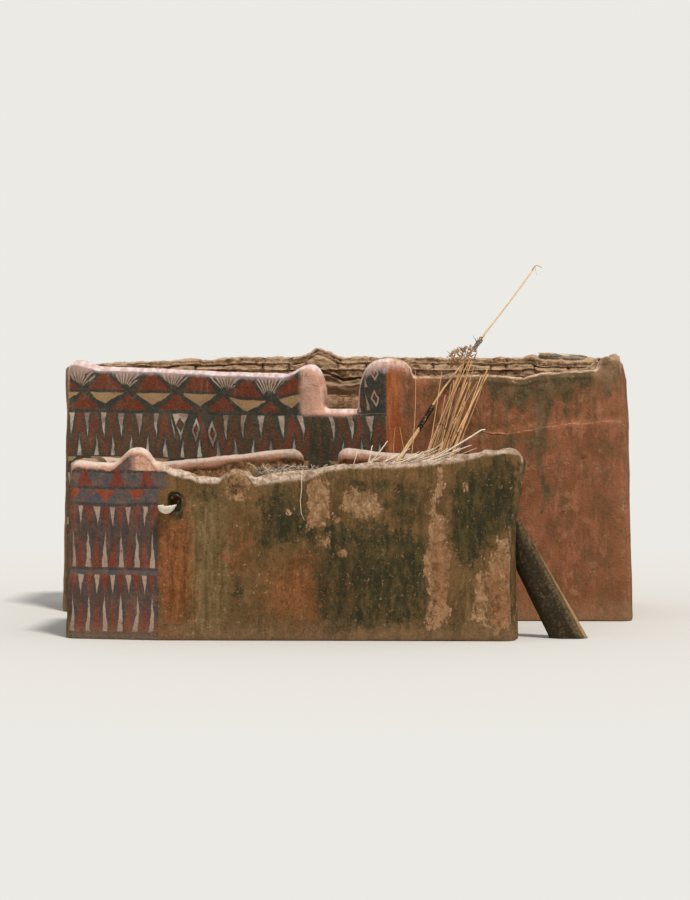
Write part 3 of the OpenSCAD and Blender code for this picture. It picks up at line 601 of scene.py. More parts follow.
def beside_notch(mural):
    """Pale strip beyond the notch, pink sill, and the slate horn with its leaning strokes and lozenges."""
    paint = mural.paint
    ramp, blend = paint.ramp, paint.blend
    above = ramp(mural.z, 2.19, 2.205)
    beyond = ramp(mural.x, 0.918, 0.908) * above
    mural.lay(beyond, SLATE)
    wavy = paint.noise(26.0, 5.0, 0.65, stretch=(1, 1, 0.12), shift=4.0)
    salmon = blend(wavy, 0.40, 0.60, (196, 140, 112), (216, 168, 142))
    lilac = blend(wavy, 0.40, 0.60, (132, 104, 100), (228, 204, 196))
    mural.lay(beyond * ramp(mural.x, 0.902, 0.894), blend(mural.x, 0.815, 0.835, salmon, lilac))
    sill = ramp(mural.x, 0.30, 0.40) * ramp(mural.x, 0.97, 0.88) * ramp(mural.z, 2.14, 2.19)
    mural.lay(sill * 0.9, blend(mural.z, 2.15, 2.21, (120, 92, 84), (214, 164, 140)))
    horn = ramp(mural.x, NOTCH_START + 0.01, NOTCH_START) * above
    mural.lay(horn, SLATE)
    pale = (168, 144, 128)
    # x, foot and tip of each stroke, and its colour
    for x, low, high, tint in (
            (0.185, 2.23, 2.44, pale), (0.235, 2.27, 2.48, WING_RED), (0.195, 2.47, 2.62, pale),
            (0.275, 2.21, 2.36, pale), (0.06, 2.40, 2.54, WING_RED), (0.245, 2.50, 2.62, WING_RED),
            (0.292, 2.38, 2.50, pale), (0.14, 2.36, 2.50, WING_RED)):
        width = paint.line(mural.z, high, low) * 0.020
        leaning = mural.x - x - (mural.z - low) * 0.12
        slim = ramp(width - abs(leaning), 0.0, 0.006) * ramp(mural.z, low, low + 0.01)
        mural.lay(horn * slim * 0.85, tint)
    for middle, half in ((2.63, 0.085), (2.36, 0.095)):
        for tint, grow in ((pale, 0.0), (SLATE, -0.38), (WING_RED, -0.60)):
            mural.lozenge(tint, (0.118, middle), 0.046, half, grow, horn)


def house_mural(mural):
    """Rows of triangles, fans and lozenges on the painted wing."""
    paint, x, z = mural.paint, mural.x, mural.z
    chalk = paint.blend(paint.noise(5.5, 3.0, shift=12.0), 0.40, 0.60, (146, 118, 100), (200, 176, 160))
    upper_row(mural, chalk)
    mural.z = z
    lower_rows(mural, chalk)
    mural.x = x
    beside_notch(mural)


def red_clay(paint, run, below, ledge, stain_and_hole_shade, broad, mid, fine, drips, smears):
    """Red plaster: patchy clay, its orange end, the lower coat's edge with a painted highlight line and a
    painted shadow line, a painted highlight round the right corner, and the dark runs of rain water, with
    painted shade in a small hole.
    """
    ramp, blend, noise = paint.ramp, paint.blend, paint.noise
    blots = noise(12.0, 5.0, 0.7, stretch=(1, 1, 0.5), shift=29.0)
    dull = noise(4.4, 7.0, 0.72, stretch=(1, 1, 0.6), shift=21.0)
    specks = noise(19.0, 5.0, 0.7, shift=31.0)
    ragged = (drips - 0.5) * 1.2 + (mid - 0.5) * 1.1 + (smears - 0.5) * 1.6 + (blots - 0.5) * 1.2
    corner = ramp(run, 2.16, 2.30) * paint.most(ramp(paint.z + (mid - 0.5) * 0.1, 2.55, 2.64),
                                                ramp(run + mid * 0.1, 2.66, 2.56))
    return paint.over(
        blend(broad, 0.40, 0.60, (124, 80, 50), (150, 96, 66)),
        (smears, 0.50, 0.60, 0.8, (170, 110, 82)),
        (dull, 0.50, 0.60, 0.75, (102, 82, 54)),
        (blots, 0.54, 0.62, 0.6, (96, 76, 50)),
        (drips, 0.48, 0.66, 0.45, (92, 68, 46)),
        (mid, 0.54, 0.66, 0.6, (176, 128, 98)),
        (ledge, 0.05, -0.2, 0.25, (150, 94, 66)),
        # painted highlight: a paler strip round the rounded right corner
        (run + mid * 0.10, RED_LEN - 0.02, RED_LEN + 0.08,
         ramp(run, RED_LEN + 0.12, RED_LEN + 0.06) * 0.3, (160, 122, 92)),
        (run, 1.9, 2.4, 0.25, (112, 78, 52)),
        (run + mid * 0.30, 0.42, 0.20, 1.0, blend(drips, 0.42, 0.62, (160, 84, 44), (184, 118, 78))),
        # painted highlight: a pale thin line along the top of the lower coat's ledge
        (abs(ledge - 0.004), 0.010, 0.003,
         ramp(run, 0.92, 1.1) * ramp(fine, 0.44, 0.56) * 0.6, (196, 148, 116)),
        # painted shadow: a dark thin line just under the ledge
        (abs(ledge + 0.015), 0.011, 0.003,
         ramp(run + mid * 0.6, 1.85, 1.4) * ramp(run, 0.95, 1.1) * 0.85, (70, 46, 32)),
        (stain_and_hole_shade + ragged, 0.30, 0.78, 0.74, blend(mid, 0.42, 0.58, (64, 64, 44), (102, 88, 62))),
        (specks, 0.61, 0.68, ramp(below, 0.7, 0.1) * 0.6, (176, 138, 104)),
        (below + (mid - 0.5) * 0.3, 0.42, 0.20, corner * 0.75,
         blend(mid, 0.4, 0.6, (116, 90, 62), (154, 120, 92))))


def house_crests(paint, colour, side, on_wing, run, below, facing, painted, mid, fine, drips):
    """Pink copings of the wing and horns, tan copings of the other walls, paler on their tops partly as a
    painted highlight, and how much of them shows.
    """
    ramp, mix, blend = paint.ramp, paint.mix, paint.blend
    streaks = paint.noise(22.0, 5.0, 0.6, stretch=(1, 0.25, 0.5), shift=17.0)
    tan = blend(fine * 0.5 + mid * 0.5, 0.42, 0.58, (142, 108, 82), (224, 190, 160))
    pink = blend(streaks, 0.34, 0.66, (206, 174, 164), (238, 220, 214))
    rough = (mid - 0.5) * (0.9 - on_wing * 0.6) + (fine - 0.5) * 0.3
    edge = ramp(facing + rough, 0.62 + on_wing * 0.22, 0.34 + on_wing * 0.24)
    rim = ramp(below + rough * 0.08, 0.024 + on_wing * 0.026, 0.010 + on_wing * 0.020)
    top = paint.most(edge, rim) * ramp(below, 0.5, 0.4) * (1.0 - ramp(run, 2.26, 2.36) * 0.35)
    colour = paint.over(
        colour,
        (below + (drips - 0.5) * 0.24, 0.17, 0.04, ramp(run, -0.34, -0.2) * painted * 0.7,
         blend(streaks, 0.42, 0.6, (148, 124, 122), (204, 182, 176))),
        (below + (drips - 0.5) * 0.10, 0.085, 0.05, ramp(run, -0.95, -1.1) * painted * 0.8, (150, 132, 132)),
        (below + (drips - 0.5) * 0.22, 0.16, 0.05, ramp(abs(run - 0.02), 0.26, 0.16) * 0.85,
         blend(streaks, 0.34, 0.66, (196, 152, 132), (228, 198, 184))))
    # pale coping colour on the tops, the inner faces near the crest and a band under it: partly the copings'
    # own plaster, partly a painted highlight on the tops
    colour = mix(top * 0.94, colour, mix(on_wing, tan, pink))
    colour = paint.over(
        colour,
        (run, 2.36, 2.44, ramp(below + (mid - 0.5) * 0.1, 0.11, 0.03) * 0.6, (192, 162, 136)),
        (run, -NOTCH_END - 0.20, -NOTCH_END - 0.10,
         edge * ramp(run, -0.2, -0.3) * ramp(below, 0.02, 0.08) * 0.85,
         blend(streaks, 0.4, 0.6, (206, 146, 118), (228, 180, 154))),
        (facing, 0.2, -0.1, on_wing * ramp(below, 0.05, 0.2) * 0.8, side))
    return colour, top


def house_material():
    """Plaster of all house walls: painted wing, red wall, copings and brown sides."""
    paint = Paint("house_plaster")
    ramp, mix, over, noise = paint.ramp, paint.mix, paint.over, paint.noise
    run, below, facing, painted, red, stain_and_hole_shade, worn, ledge = paint.numbers(
        "run", "below", "facing", "painted", "red", "stain_and_hole_shade", "worn", "ledge")
    broad, mid = noise(1.6, 6.0, 0.6), noise(7.0, 7.0, 0.68, shift=2.0)
    fine, grit = noise(38.0, 5.0, 0.7, shift=5.0), noise(130.0, 3.0, 0.6, shift=7.0)
    drips = noise(15.0, 6.0, 0.68, stretch=(1, 1, 0.11), shift=1.0)
    smears = noise(9.0, 7.0, 0.72, stretch=(1, 1, 0.4), shift=23.0)
    patches = noise(4.2, 6.0, 0.7, shift=13.0)

    mural = Mural(paint, 0.0 - run, paint.z)
    house_mural(mural)
    wing = over(mural.colour,
                (mid * 0.6 + fine * 0.4, 0.46, 0.66, 0.35, (134, 108, 90)),
                (grit * 0.5 + fine * 0.5, 0.56, 0.66, 0.4, (156, 128, 108)),
                (grit * 0.4 + patches * 0.6, 0.47, 0.38, 0.35, (56, 48, 38)))
    wing = paint.shade(wing, 0.78 + broad * 0.26 + smears * 0.22)
    wing = over(wing, (drips, 0.56, 0.72, ramp(below, 0.5, 0.0) * 0.45, (172, 140, 126)))
    clay = red_clay(paint, run, below, ledge, stain_and_hole_shade, broad, mid, fine, drips, smears)
    side = over(paint.blend(broad, 0.38, 0.62, (112, 80, 54), (144, 106, 74)),
                (drips, 0.46, 0.64, ramp(below, 1.1, 0.0) * 0.7, (74, 64, 46)),
                (patches, 0.52, 0.68, 0.6, (160, 122, 88)),
                (smears, 0.50, 0.64, 0.45, (96, 74, 52)))
    colour = mix(painted, mix(red, side, clay), wing)
    on_wing = ramp(run, 0.10, 0.0)
    colour, top = house_crests(paint, colour, side, on_wing, run, below, facing, painted, mid, fine, drips)

    colour = over(colour, (paint.z + (mid - 0.5) * 0.5, 0.30, 0.02, 0.5, (146, 114, 84)))
    colour = mix(worn, colour, paint.blend(fine, 0.4, 0.6, (120, 88, 60), (176, 136, 100)))
    hairline = paint.veins(2.6, 0.006, 3.0) * ramp(mid, 0.50, 0.62) * (1.0 - top)
    colour = mix(hairline * 0.55, colour, (58, 42, 30))
    colour = over(colour, (grit * 0.4 + fine * 0.6, 0.40, 0.33, (1.0 - top * on_wing) * 0.5, (60, 46, 34)))
    colour = paint.shade(colour, 0.76 + fine * 0.28 + grit * 0.20)
    height = fine * 0.7 + mid * 0.9 + grit * 0.22 - hairline * 0.3 + drips * 0.2
    return paint.finish(colour, 0.92, height, 0.018, 0.1)


def annex_mural(mural):
    """Bands and narrow triangles on the painted end of the annex."""
    paint = mural.paint
    slate, red, chalk = (70, 66, 62), (122, 62, 48), (178, 152, 134)
    wide, narrow = 0.34, 0.17
    patchy = paint.noise(9.0, 5.0, 0.65, shift=51.0)
    mural.colour = paint.blend(patchy, 0.42, 0.6, (84, 84, 84), (110, 86, 78))
    mural.band(slate, 1.70, 1.73)
    mural.triangles(red, wide, 0.115, 1.80, 1.565, 0.55)
    mural.band(slate, 1.535, 1.565)
    mural.triangles((150, 70, 46), wide, 0.24, 1.40, 1.53, 0.62)
    mural.band(slate, 1.365, 1.395)
    for top, low in ((1.355, 0.74), (0.66, 0.08)):
        mural.band((84, 70, 64), low, top)
        mural.triangles(red, narrow, 0.15, low + 0.36, low, 0.55)
        mural.triangles(red, narrow, 0.065, low + 0.34, top, 0.48)
        mural.triangles(chalk, narrow, 0.15, top - 0.22, top, 0.38)
        mural.triangles(chalk, narrow, 0.065, low + 0.42, low, 0.38)
        mural.band(slate, low - 0.03, low)


def annex_earth(paint, mould, orange, olive, ragged, bare, broad, mid, drips, smears, crumbs):
    """Brown earth with olive and orange places, black mould, and flaked patches where bare is high."""
    ramp, blend, noise = paint.ramp, paint.blend, paint.noise
    rust = blend(drips * 0.5 + crumbs * 0.5, 0.42, 0.58, (106, 62, 32), (156, 98, 60))
    flecks = ramp(noise(26.0, 6.0, 0.75, shift=11.0), 0.55, 0.61)
    chips = noise(20.0, 7.0, 0.78, shift=41.0)
    flaked = paint.over(
        blend(mid * 0.5 + crumbs * 0.5, 0.38, 0.60, (122, 88, 56), (184, 144, 106)),
        (crumbs, 0.57, 0.64, 0.75, (216, 182, 148)),
        (orange, 0.1, 0.4, 0.45, rust))
    earth = paint.over(
        blend(broad, 0.38, 0.62, (100, 76, 46), (122, 92, 58)),
        (smears, 0.50, 0.62, 0.7, (142, 108, 72)),
        (drips, 0.48, 0.62, 0.6, (78, 64, 40)),
        (olive + ragged * 0.4, 0.2, 0.8, 0.8,
         blend(drips * 0.6 + smears * 0.4, 0.42, 0.60, (100, 82, 50), (142, 116, 80))),
        (orange + ragged * 0.5, 0.25, 0.85, 0.85, rust),
        (mould + ragged * 0.85, 0.36, 0.64, (1.0 - flecks * 0.8) * 0.9,
         blend(smears, 0.42, 0.60, (40, 46, 32), (84, 72, 44))))
    earth = paint.over(paint.mix(bare * 0.9, earth, flaked), (chips, 0.60, 0.65, 0.75, (182, 148, 112)))
    return earth, flecks


def annex_rim(paint, run, below, facing, up, back, ragged, mid, crumbs):
    """Pale crust of the rims, pink on the painted end and the back wall, the pink pale on upward faces and
    salmon on the others as painted light, with how much of it shows.
    """
    ramp = paint.ramp
    crust = paint.blend(crumbs * 0.6 + mid * 0.4, 0.42, 0.58, (158, 128, 102), (236, 210, 188))
    # painted light: the pink is pale on faces that look up and salmon on the others
    pink = paint.blend(up + (mid - 0.5) * 0.5, 0.15, 0.8, (208, 152, 124), (238, 212, 196))
    pinkish = paint.most(ramp(run + (mid - 0.5) * 0.3, 0.12, -0.05), back)
    crust = paint.mix(pinkish * 0.92, crust, pink)
    reach = paint.most(back * ramp(facing, 0.2, -0.2) * 0.12, 0.075)
    right_end = ramp(run, 3.45, 3.6) * ramp(below, 0.01, 0.03) * (1.0 - back)
    edge = ramp(facing + (mid - 0.5) * 0.5, 0.80, 0.50) * ramp(below - reach, 0.03, -0.02)
    edge = edge * (1.0 - right_end)
    depth = 0.046 + ramp(run, 0.75, 1.05) * ramp(run, 1.75, 1.4) * 0.048 + ramp(run, 0.8, 0.4) * 0.030
    torn = below + ragged * 0.045 - depth
    top = paint.most(edge, ramp(torn, 0.018, -0.012)) * ramp(below, 0.4, 0.3)
    top = top * (0.72 + ramp(run, 1.6, 0.9) * 0.24)
    at_corner = ramp(run, 3.42, 3.56) * ramp(run, 4.3, 4.1) * ramp(paint.z, 1.86, 1.80)
    return crust, top * (1.0 - at_corner * 0.9), torn


def annex_material():
    """Plaster of the annex: mouldy brown earth with flaked patches, a pale rim, a painted end and painted
    shade in the drain hole.
    """
    paint = Paint("annex_plaster")
    ramp, mix, blend, over, noise = paint.ramp, paint.mix, paint.blend, paint.over, paint.noise
    run, below, facing, up, painted, mould, tan, orange, worn, olive, hole, back = paint.numbers(
        "run", "below", "facing", "up", "painted", "mould", "tan", "orange", "worn", "olive", "hole", "back")
    broad, mid = noise(1.8, 6.0, 0.6, shift=8.0), noise(8.0, 8.0, 0.72, shift=3.0)
    fine, grit = noise(42.0, 5.0, 0.7, shift=1.0), noise(140.0, 3.0, 0.6, shift=2.0)
    drips = noise(17.0, 7.0, 0.7, stretch=(1, 1, 0.10), shift=7.0)
    smears = noise(11.0, 8.0, 0.75, stretch=(1, 1, 0.35), shift=27.0)
    crumbs = noise(22.0, 8.0, 0.8, stretch=(1, 1, 0.7), shift=33.0)
    ragged = (mid - 0.5) * 1.2 + (crumbs - 0.5) * 1.4 + (drips - 0.5) * 0.9 + (smears - 0.5) * 1.3
    bare = ramp(tan + ragged * 0.8, 0.44, 0.60)
    earth, flecks = annex_earth(
        paint, mould, orange, olive, ragged, bare, broad, mid, drips, smears, crumbs)

    mural = Mural(paint, 0.0 - run, paint.z)
    annex_mural(mural)
    faded = over(mural.colour,
                 (mid * 0.6 + drips * 0.4, 0.44, 0.66, 0.5, (146, 106, 86)),
                 (fine * 0.6 + grit * 0.4, 0.55, 0.66, 0.35, (156, 128, 108)))
    faded = paint.shade(faded, 0.84 + broad * 0.36)
    overlap = ramp(run + (mid - 0.5) * 0.1, 0.10, 0.06) * ramp(paint.z, 1.48, 1.60) * ramp(run, -0.1, 0.0)
    colour = mix(paint.most(ramp(painted + (mid - 0.5) * 0.5, 0.4, 0.6), overlap * 0.85), earth, faded)
    by_tip = ramp(run, -0.34, -0.22) * ramp(run, 0.06, 0.02)
    colour = over(colour, (paint.z + (mid - 0.5) * 0.04, 1.722, 1.738, by_tip,
                           blend(fine, 0.4, 0.6, (206, 150, 122), (226, 178, 154))))

    crust, top, torn = annex_rim(paint, run, below, facing, up, back, ragged, mid, crumbs)
    # painted shadow: a dark line under the torn lower edge of the crust
    shadow_under_crust = (1.0 - top) * ramp(facing, 0.5, 0.8) * ramp(run, 1.3, 0.9) * 0.45
    colour = over(mix(top, colour, crust), (torn, 0.035, 0.0, shadow_under_crust, (70, 54, 36)))
    broken = over(blend(crumbs, 0.38, 0.60, (92, 66, 42), (176, 134, 94)),
                  (fine, 0.58, 0.66, 0.7, (208, 176, 138)))
    colour = over(mix(worn, colour, broken), (paint.z + (mid - 0.5) * 0.5, 0.26, 0.0, 0.5, (140, 110, 82)))
    hairline = paint.veins(3.2, 0.006, 5.0) * ramp(mid, 0.48, 0.6) * (1.0 - top)
    colour = over(mix(hairline * 0.5, colour, (46, 36, 26)),
                  (grit * 0.4 + fine * 0.6, 0.41, 0.34, (1.0 - top * 0.8) * 0.55, (48, 38, 26)),
                  # painted shade: near black in and around the drain hole
                  (hole + ragged * 0.15, 0.35, 0.6, 0.93, (36, 36, 24)))
    colour = paint.shade(colour, 0.72 + fine * 0.34 + grit * 0.20)
    height = fine * 0.9 + mid * 0.9 + crumbs * 0.5 + grit * 0.25
    height = height - hairline * 0.3 - bare * 0.3 + flecks * 0.2 + top * 0.4
    return paint.finish(colour, 0.94, height, 0.018, 0.08)


def earth_material(name, dark, light, layered=False):
    """Bare earth, with beds, crumbs and pale specks where it is worn, painted shade in its hollows and a
    painted highlight on faces that look up.
    """
    paint = Paint(name)
    noise, shade = paint.noise, paint.shade
    broad, mid = noise(3.0, 6.0, 0.6), noise(14.0, 7.0, 0.7, shift=2.0)
    fine, grit = noise(60.0, 5.0, 0.7, shift=4.0), noise(170.0, 2.0, shift=8.0)
    colour = paint.blend(mid * 0.6 + broad * 0.4, 0.40, 0.60, dark, light)
    height = mid * 0.8 + fine * 0.8 + grit * 0.2
    if layered:
        inside, up = paint.numbers("inside", "up")
        beds = noise(8.0, 7.0, 0.75, stretch=(0.35, 0.35, 3.4), shift=6.0)
        crumbs = noise(24.0, 7.0, 0.8, stretch=(0.8, 0.8, 1.5), shift=16.0)
        specks = noise(52.0, 6.0, 0.8, stretch=(0.8, 0.8, 1.6), shift=26.0)
        colour = paint.over(colour,
                            (crumbs, 0.54, 0.64, 0.75, shade(light, 1.15)),
                            (crumbs, 0.47, 0.37, 0.7, shade(dark, 0.62)),
                            (specks, 0.54, 0.62, 0.6, shade(light, 1.25)),
                            (specks, 0.45, 0.38, 0.7, shade(dark, 0.5)),
                            # painted shade in the hollows marked by inside
                            (inside + (mid - 0.5) * 0.8, 0.30, 0.8, 0.85, shade(dark, 0.45)),
                            (beds, 0.46, 0.36, 0.6, shade(dark, 0.55)),
                            # painted highlight on faces that look up
                            (up, 0.25, 0.8, 0.6, shade(light, 1.15)))
        height = height + beds * 1.6 + crumbs * 1.4 + specks * 1.4
    return paint.finish(shade(colour, 0.70 + fine * 0.40 + grit * 0.2), 0.95, height, 0.02, 0.08)


def wood_material(name, dark, light, fibres):
    """Dry wood with fibres along each rod and a tone for each one."""
    paint = Paint(name)
    tone, = paint.numbers("tone")
    grain = paint.noise(fibres, 5.0, 0.65, shift=1.0)
    colour = paint.mix(tone * 0.65 + paint.ramp(grain, 0.3, 0.7) * 0.35, dark, light)
    colour = paint.shade(colour, 0.72 + paint.noise(9.0, 4.0, shift=4.0) * 0.56)
    return paint.finish(colour, 0.8, grain, 0.002, 0.2)


# Walls

def spot(across, up, centre, half, power=2):
    """1 at a centre on a wall, fading away half a width and height from it."""
    return np.exp(-(((across - centre[0]) / half[0]) ** power + ((up - centre[1]) / half[1]) ** power))


def house_walls(material):
    """Red wall with its thick lower coat, painted wing with horns and notch, and the sides of the house."""
    walls = Walls(HOUSE_SIDES, CELL, HOUSE)
    points, edge, run, z, below = walls.points, walls.edge, walls.run, walls.z, walls.below
    outer = smoothstep(walls.depth, WALL_T * 0.5, WALL_T * 0.3)
    on_red = edge == RED
    red_face = on_red * outer

    # top edge of the thick lower coat, read along the red wall
    coat_edge = np.interp(run, [0.95, 1.06, 1.29, 1.52, 1.70, 1.86, 2.18, 2.30, 2.47, 2.60],
                          [2.035, 2.02, 1.985, 2.03, 2.07, 2.085, 2.11, 2.135, 2.125, 2.06])
    ledge = z - (coat_edge + 0.012 * fbm(points, (9, 0, 0), 21))
    set_back = smoothstep(ledge, -0.010, 0.014) * smoothstep(run, 0.95, 1.15) * red_face * (below > 0.08)
    nick = spot(run, z, (2.56, 1.24), (0.05, 0.07)) * red_face
    # a small hole in the red wall: its dent is real, and its dark colour, given through the stain number, is
    # painted shade
    hole = spot(run, z, (2.096, 1.735), (0.016, 0.016)) * red_face

    # uneven hand-laid faces and crumbled crests
    crumble = np.exp(-np.maximum(below, 0) / 0.07)
    coarse = np.where(on_red, 0.016 - 0.014 * smoothstep(run, 2.25, 2.4), 0.004)
    behind = (edge != RED) & (edge != PAINTED)
    coarse_behind = np.where(behind, 0.003 + 0.009 * smoothstep(run, RED_LEN + 2.2, RED_LEN + 2.6), 0)
    push = 0.009 * fbm(points, 2.2, 1) + 0.004 * fbm(points, 9.0, 2) - 0.004
    push += crumble * coarse * fbm(points, 17.0, 3)
    push += crumble * coarse_behind * fbm(points, 17.0, 4)
    push -= 0.012 * set_back + 0.03 * nick + 0.03 * hole
    walls.points = points + walls.normal * push[:, None]
    raise_copings(walls)

    by_corner = np.where(edge == RIGHT, smoothstep(walls.along, 0.75, 0.25), 0)
    walls.build(material, {
        "painted": (edge == PAINTED) * outer, "red": np.where(on_red, 1.0, by_corner) * outer,
        # the stain number also carries the painted shade of the small hole
        "stain_and_hole_shade": house_stain(points, run, z, below) * red_face + hole * 1.5,
        "worn": np.clip(nick * 1.4, 0, 1) * 0.8, "ledge": np.where(on_red, ledge, -1.0)})


def raise_copings(walls):
    """Coping and right horn a little higher, and the notch a little to the left, as the photo shows them."""
    run, z, moved = walls.run, walls.z, walls.points
    lift = np.interp(run, [0.3, 0.55, 0.75, 1.09, 1.28, 1.40, 1.47, 1.54, 1.64, 1.98, 2.2, 2.42, 2.8, 3.2],
                     [0, 0.012, 0.026, 0.042, 0.030, 0.004, 0.0, 0.014, 0.03, 0.022, 0.018, 0.034, 0.034, 0])
    near_crest = smoothstep(walls.below, 0.40, 0.03)
    on_horn = smoothstep(run, 2.15, 2.35)
    lift *= near_crest + (smoothstep(z, 2.45, 2.75) - near_crest) * on_horn
    moved[:, 2] += lift * (run > 0)
    moved[:, 0] -= 0.024 * smoothstep(z, 2.1, 2.5) * smoothstep(run, 2.4, 2.6) * (walls.edge != PAINTED)
    left_flank = smoothstep(walls.x, 2.46, 2.28) * smoothstep(z, 2.62, 2.80) * smoothstep(run, 2.1, 2.3)
    moved[:, 2] -= 0.042 * left_flank
    slide = 0.042 * smoothstep(-run, 0.06, 0.28) * smoothstep(-run, 1.35, 0.95) * (run < 0)
    moved[:, :2] -= (slide * smoothstep(z, 2.0, 2.26))[:, None] * walls.direction[PAINTED]


def house_stain(points, run, z, below):
    """Dark runs of rain water below the coping of the red wall."""
    sway = 0.05 * fbm(points, (0, 0, 2.5), 31)
    total = 0.62 * np.exp(-np.maximum(below - 0.04, 0) / 0.16) * smoothstep(run, 0.7, 1.25)
    total += 0.35 * np.exp(-np.maximum(below - 0.04, 0) / 0.12) * smoothstep(run, 0.3, 0.6)
    # middle, half width, reach below the coping, and strength of each run
    for centre, half, reach, strength in (
            (0.62, 0.05, 0.30, 0.45), (0.98, 0.05, 0.35, 0.5), (1.13, 0.05, 0.5, 0.6),
            (1.29, 0.07, 0.62, 0.9),
            (1.44, 0.04, 0.45, 0.7), (1.55, 0.05, 0.62, 0.8), (1.69, 0.08, 0.80, 0.95),
            (1.90, 0.07, 0.55, 0.8),
            (2.08, 0.04, 0.40, 0.6), (2.33, 0.08, 0.60, 0.85), (2.50, 0.04, 0.5, 0.5)):
        across = np.exp(-((run - centre - sway) / half) ** 2)
        total += strength * across * smoothstep(below, reach, reach * 0.3)
    total += 0.55 * spot(run, z, (1.32, 1.90), (0.30, 0.11), 4)
    line = sway * 0.3 + np.interp(z, [0.8, 1.08, 1.35, 1.55, 1.83, 2.36],
                                  [1.62, 1.66, 1.72, 1.645, 1.64, 1.68])
    width = 0.052 * (1 + 0.5 * fbm(points, (0, 0, 6), 33))
    tall = np.exp(-((run - line) / width) ** 2) * smoothstep(z, 0.7, 1.4) * smoothstep(z, 2.6, 2.5)
    return total + tall * (0.62 + 0.7 * fbm(points, (5, 5, 6), 34))


def annex_walls(material):
    """Annex walls with the lump on the front rim, two rolls on the broken back rim and a leaning corner."""
    blobs = [((-1.471, ANNEX_FRONT + 0.095, 1.635), (0.120, 0.125, 0.125))]
    for x, half in ((-0.95, 0.125), (-0.37, 0.12)):
        blobs += [((x, -0.69, 1.745), (half, 0.15, 0.125)), ((x, -0.69, 1.54), (half, 0.15, 0.18))]
    walls = Walls(ANNEX_SIDES, CELL * 0.9, ANNEX, blobs)
    points, edge, depth, x, z, below = walls.points, walls.edge, walls.depth, walls.x, walls.z, walls.below
    outer = smoothstep(depth, ANNEX_T * 0.55, ANNEX_T * 0.35)
    front, rear = edge == RED, edge == BACK
    knob = spot(x, z, (-1.471, 1.62), (0.135, 0.17), 4) * front * outer
    torn_line = 0.085 + 0.035 * fbm(points, (3.0, 0, 0), 47)
    inner = smoothstep(depth, ANNEX_T * 0.5, ANNEX_T * 0.8)
    broken = smoothstep(below, torn_line, torn_line + 0.03) * rear * inner

    push = 0.011 * fbm(points, 2.0, 5) + 0.006 * fbm(points, 8.0, 6) - 0.003
    push += np.exp(-np.maximum(below, 0) / 0.06) * 0.014 * fbm(points, 15.0, 7) * np.where(front, 1.0, 0.3)
    push += 0.012 * knob * fbm(points, 12.0, 8)
    push -= broken * (0.022 + 0.018 * fbm(points, 13.0, 48))
    by_corner = smoothstep(x, ANNEX_RIGHT - 0.34, ANNEX_RIGHT - 0.03) * smoothstep(walls.y, -1.90, -2.12)
    lean = np.interp(z, [0.0, 0.6, 1.0, 1.25, 1.45, 1.65, 1.82, 1.95],
                     [-0.04, -0.04, -0.02, 0.0, 0.04, 0.085, 0.12, 0.10]) * by_corner
    walls.points = points + walls.normal * push[:, None]
    walls.points[:, 0] += lean * (1 + 0.2 * fbm(points, 7.0, 9))
    walls.points[:, 2] += annex_rise(walls) * smoothstep(below, 0.35, 0.05)

    values = annex_patches(points, x, z, front * outer)
    elsewhere = ~front & (edge != PAINTED)
    for name, share, per_metre, seed in (("mould", 0.25, 1.7, 43), ("tan", 0.2, 2.1, 44)):
        spread = np.clip(share + 0.6 * fbm(points, per_metre, seed), 0, 1) * outer
        values[name] = np.where(elsewhere, spread, values[name])
    left_roll = smoothstep(x, -1.14, -0.96) * (x < -0.7)
    shown = (front | (depth > ANNEX_T * 0.5)) * (walls.normal[:, 1] < 0.5)
    # spread of the drain hole's painted shade, wider on the inner faces seen through the hole
    drain = spot(x, z, (-2.10, 1.41), (np.where(front, 0.075, 0.14), np.where(front, 0.105, 0.16)), 4)
    walls.build(material, dict(
        values, painted=(edge == PAINTED) * outer, worn=np.maximum(broken, knob * 0.85), hole=drain * shown,
        back=smoothstep(walls.y, -0.95, -0.85) * (1 - 0.45 * left_roll)))


def annex_rise(walls):
    """How much higher or lower the rims are than the solids, as the photo shows them."""
    x, edge = walls.x, walls.edge
    front = np.interp(
        x, [-2.26, -2.10, -1.90, -1.70, -1.64, -1.60, -1.55, -1.40, -1.35, -1.29, -1.17, -0.86,
            -0.70, -0.55, -0.45, -0.33, -0.2, 0.18, 0.56, 0.8, 0.97, 1.09, 1.26, 1.5],
        [0.05, 0.02, 0.03, 0.03, 0.045, 0.055, 0.0, 0.0, 0.045, 0.035, 0.05, 0.055,
         0.04, 0.04, 0.035, 0.02, 0.01, 0, 0.015, 0, 0, 0.025, 0.034, 0.03])
    tip = np.interp(walls.run, [-0.26, -0.20, -0.14, -0.10, -0.05, 0.0],
                    [0, 0.015, 0.065, 0.075, 0.05, 0.05])
    rear = np.interp(x, [-2.2, -1.4, -1.0, -0.8, -0.5, 0.0, 0.5], [0, 0.012, 0.02, 0.0, 0.02, 0.016, 0])
    return front * (edge == RED) + tip * (edge == PAINTED) + rear * (edge == BACK)


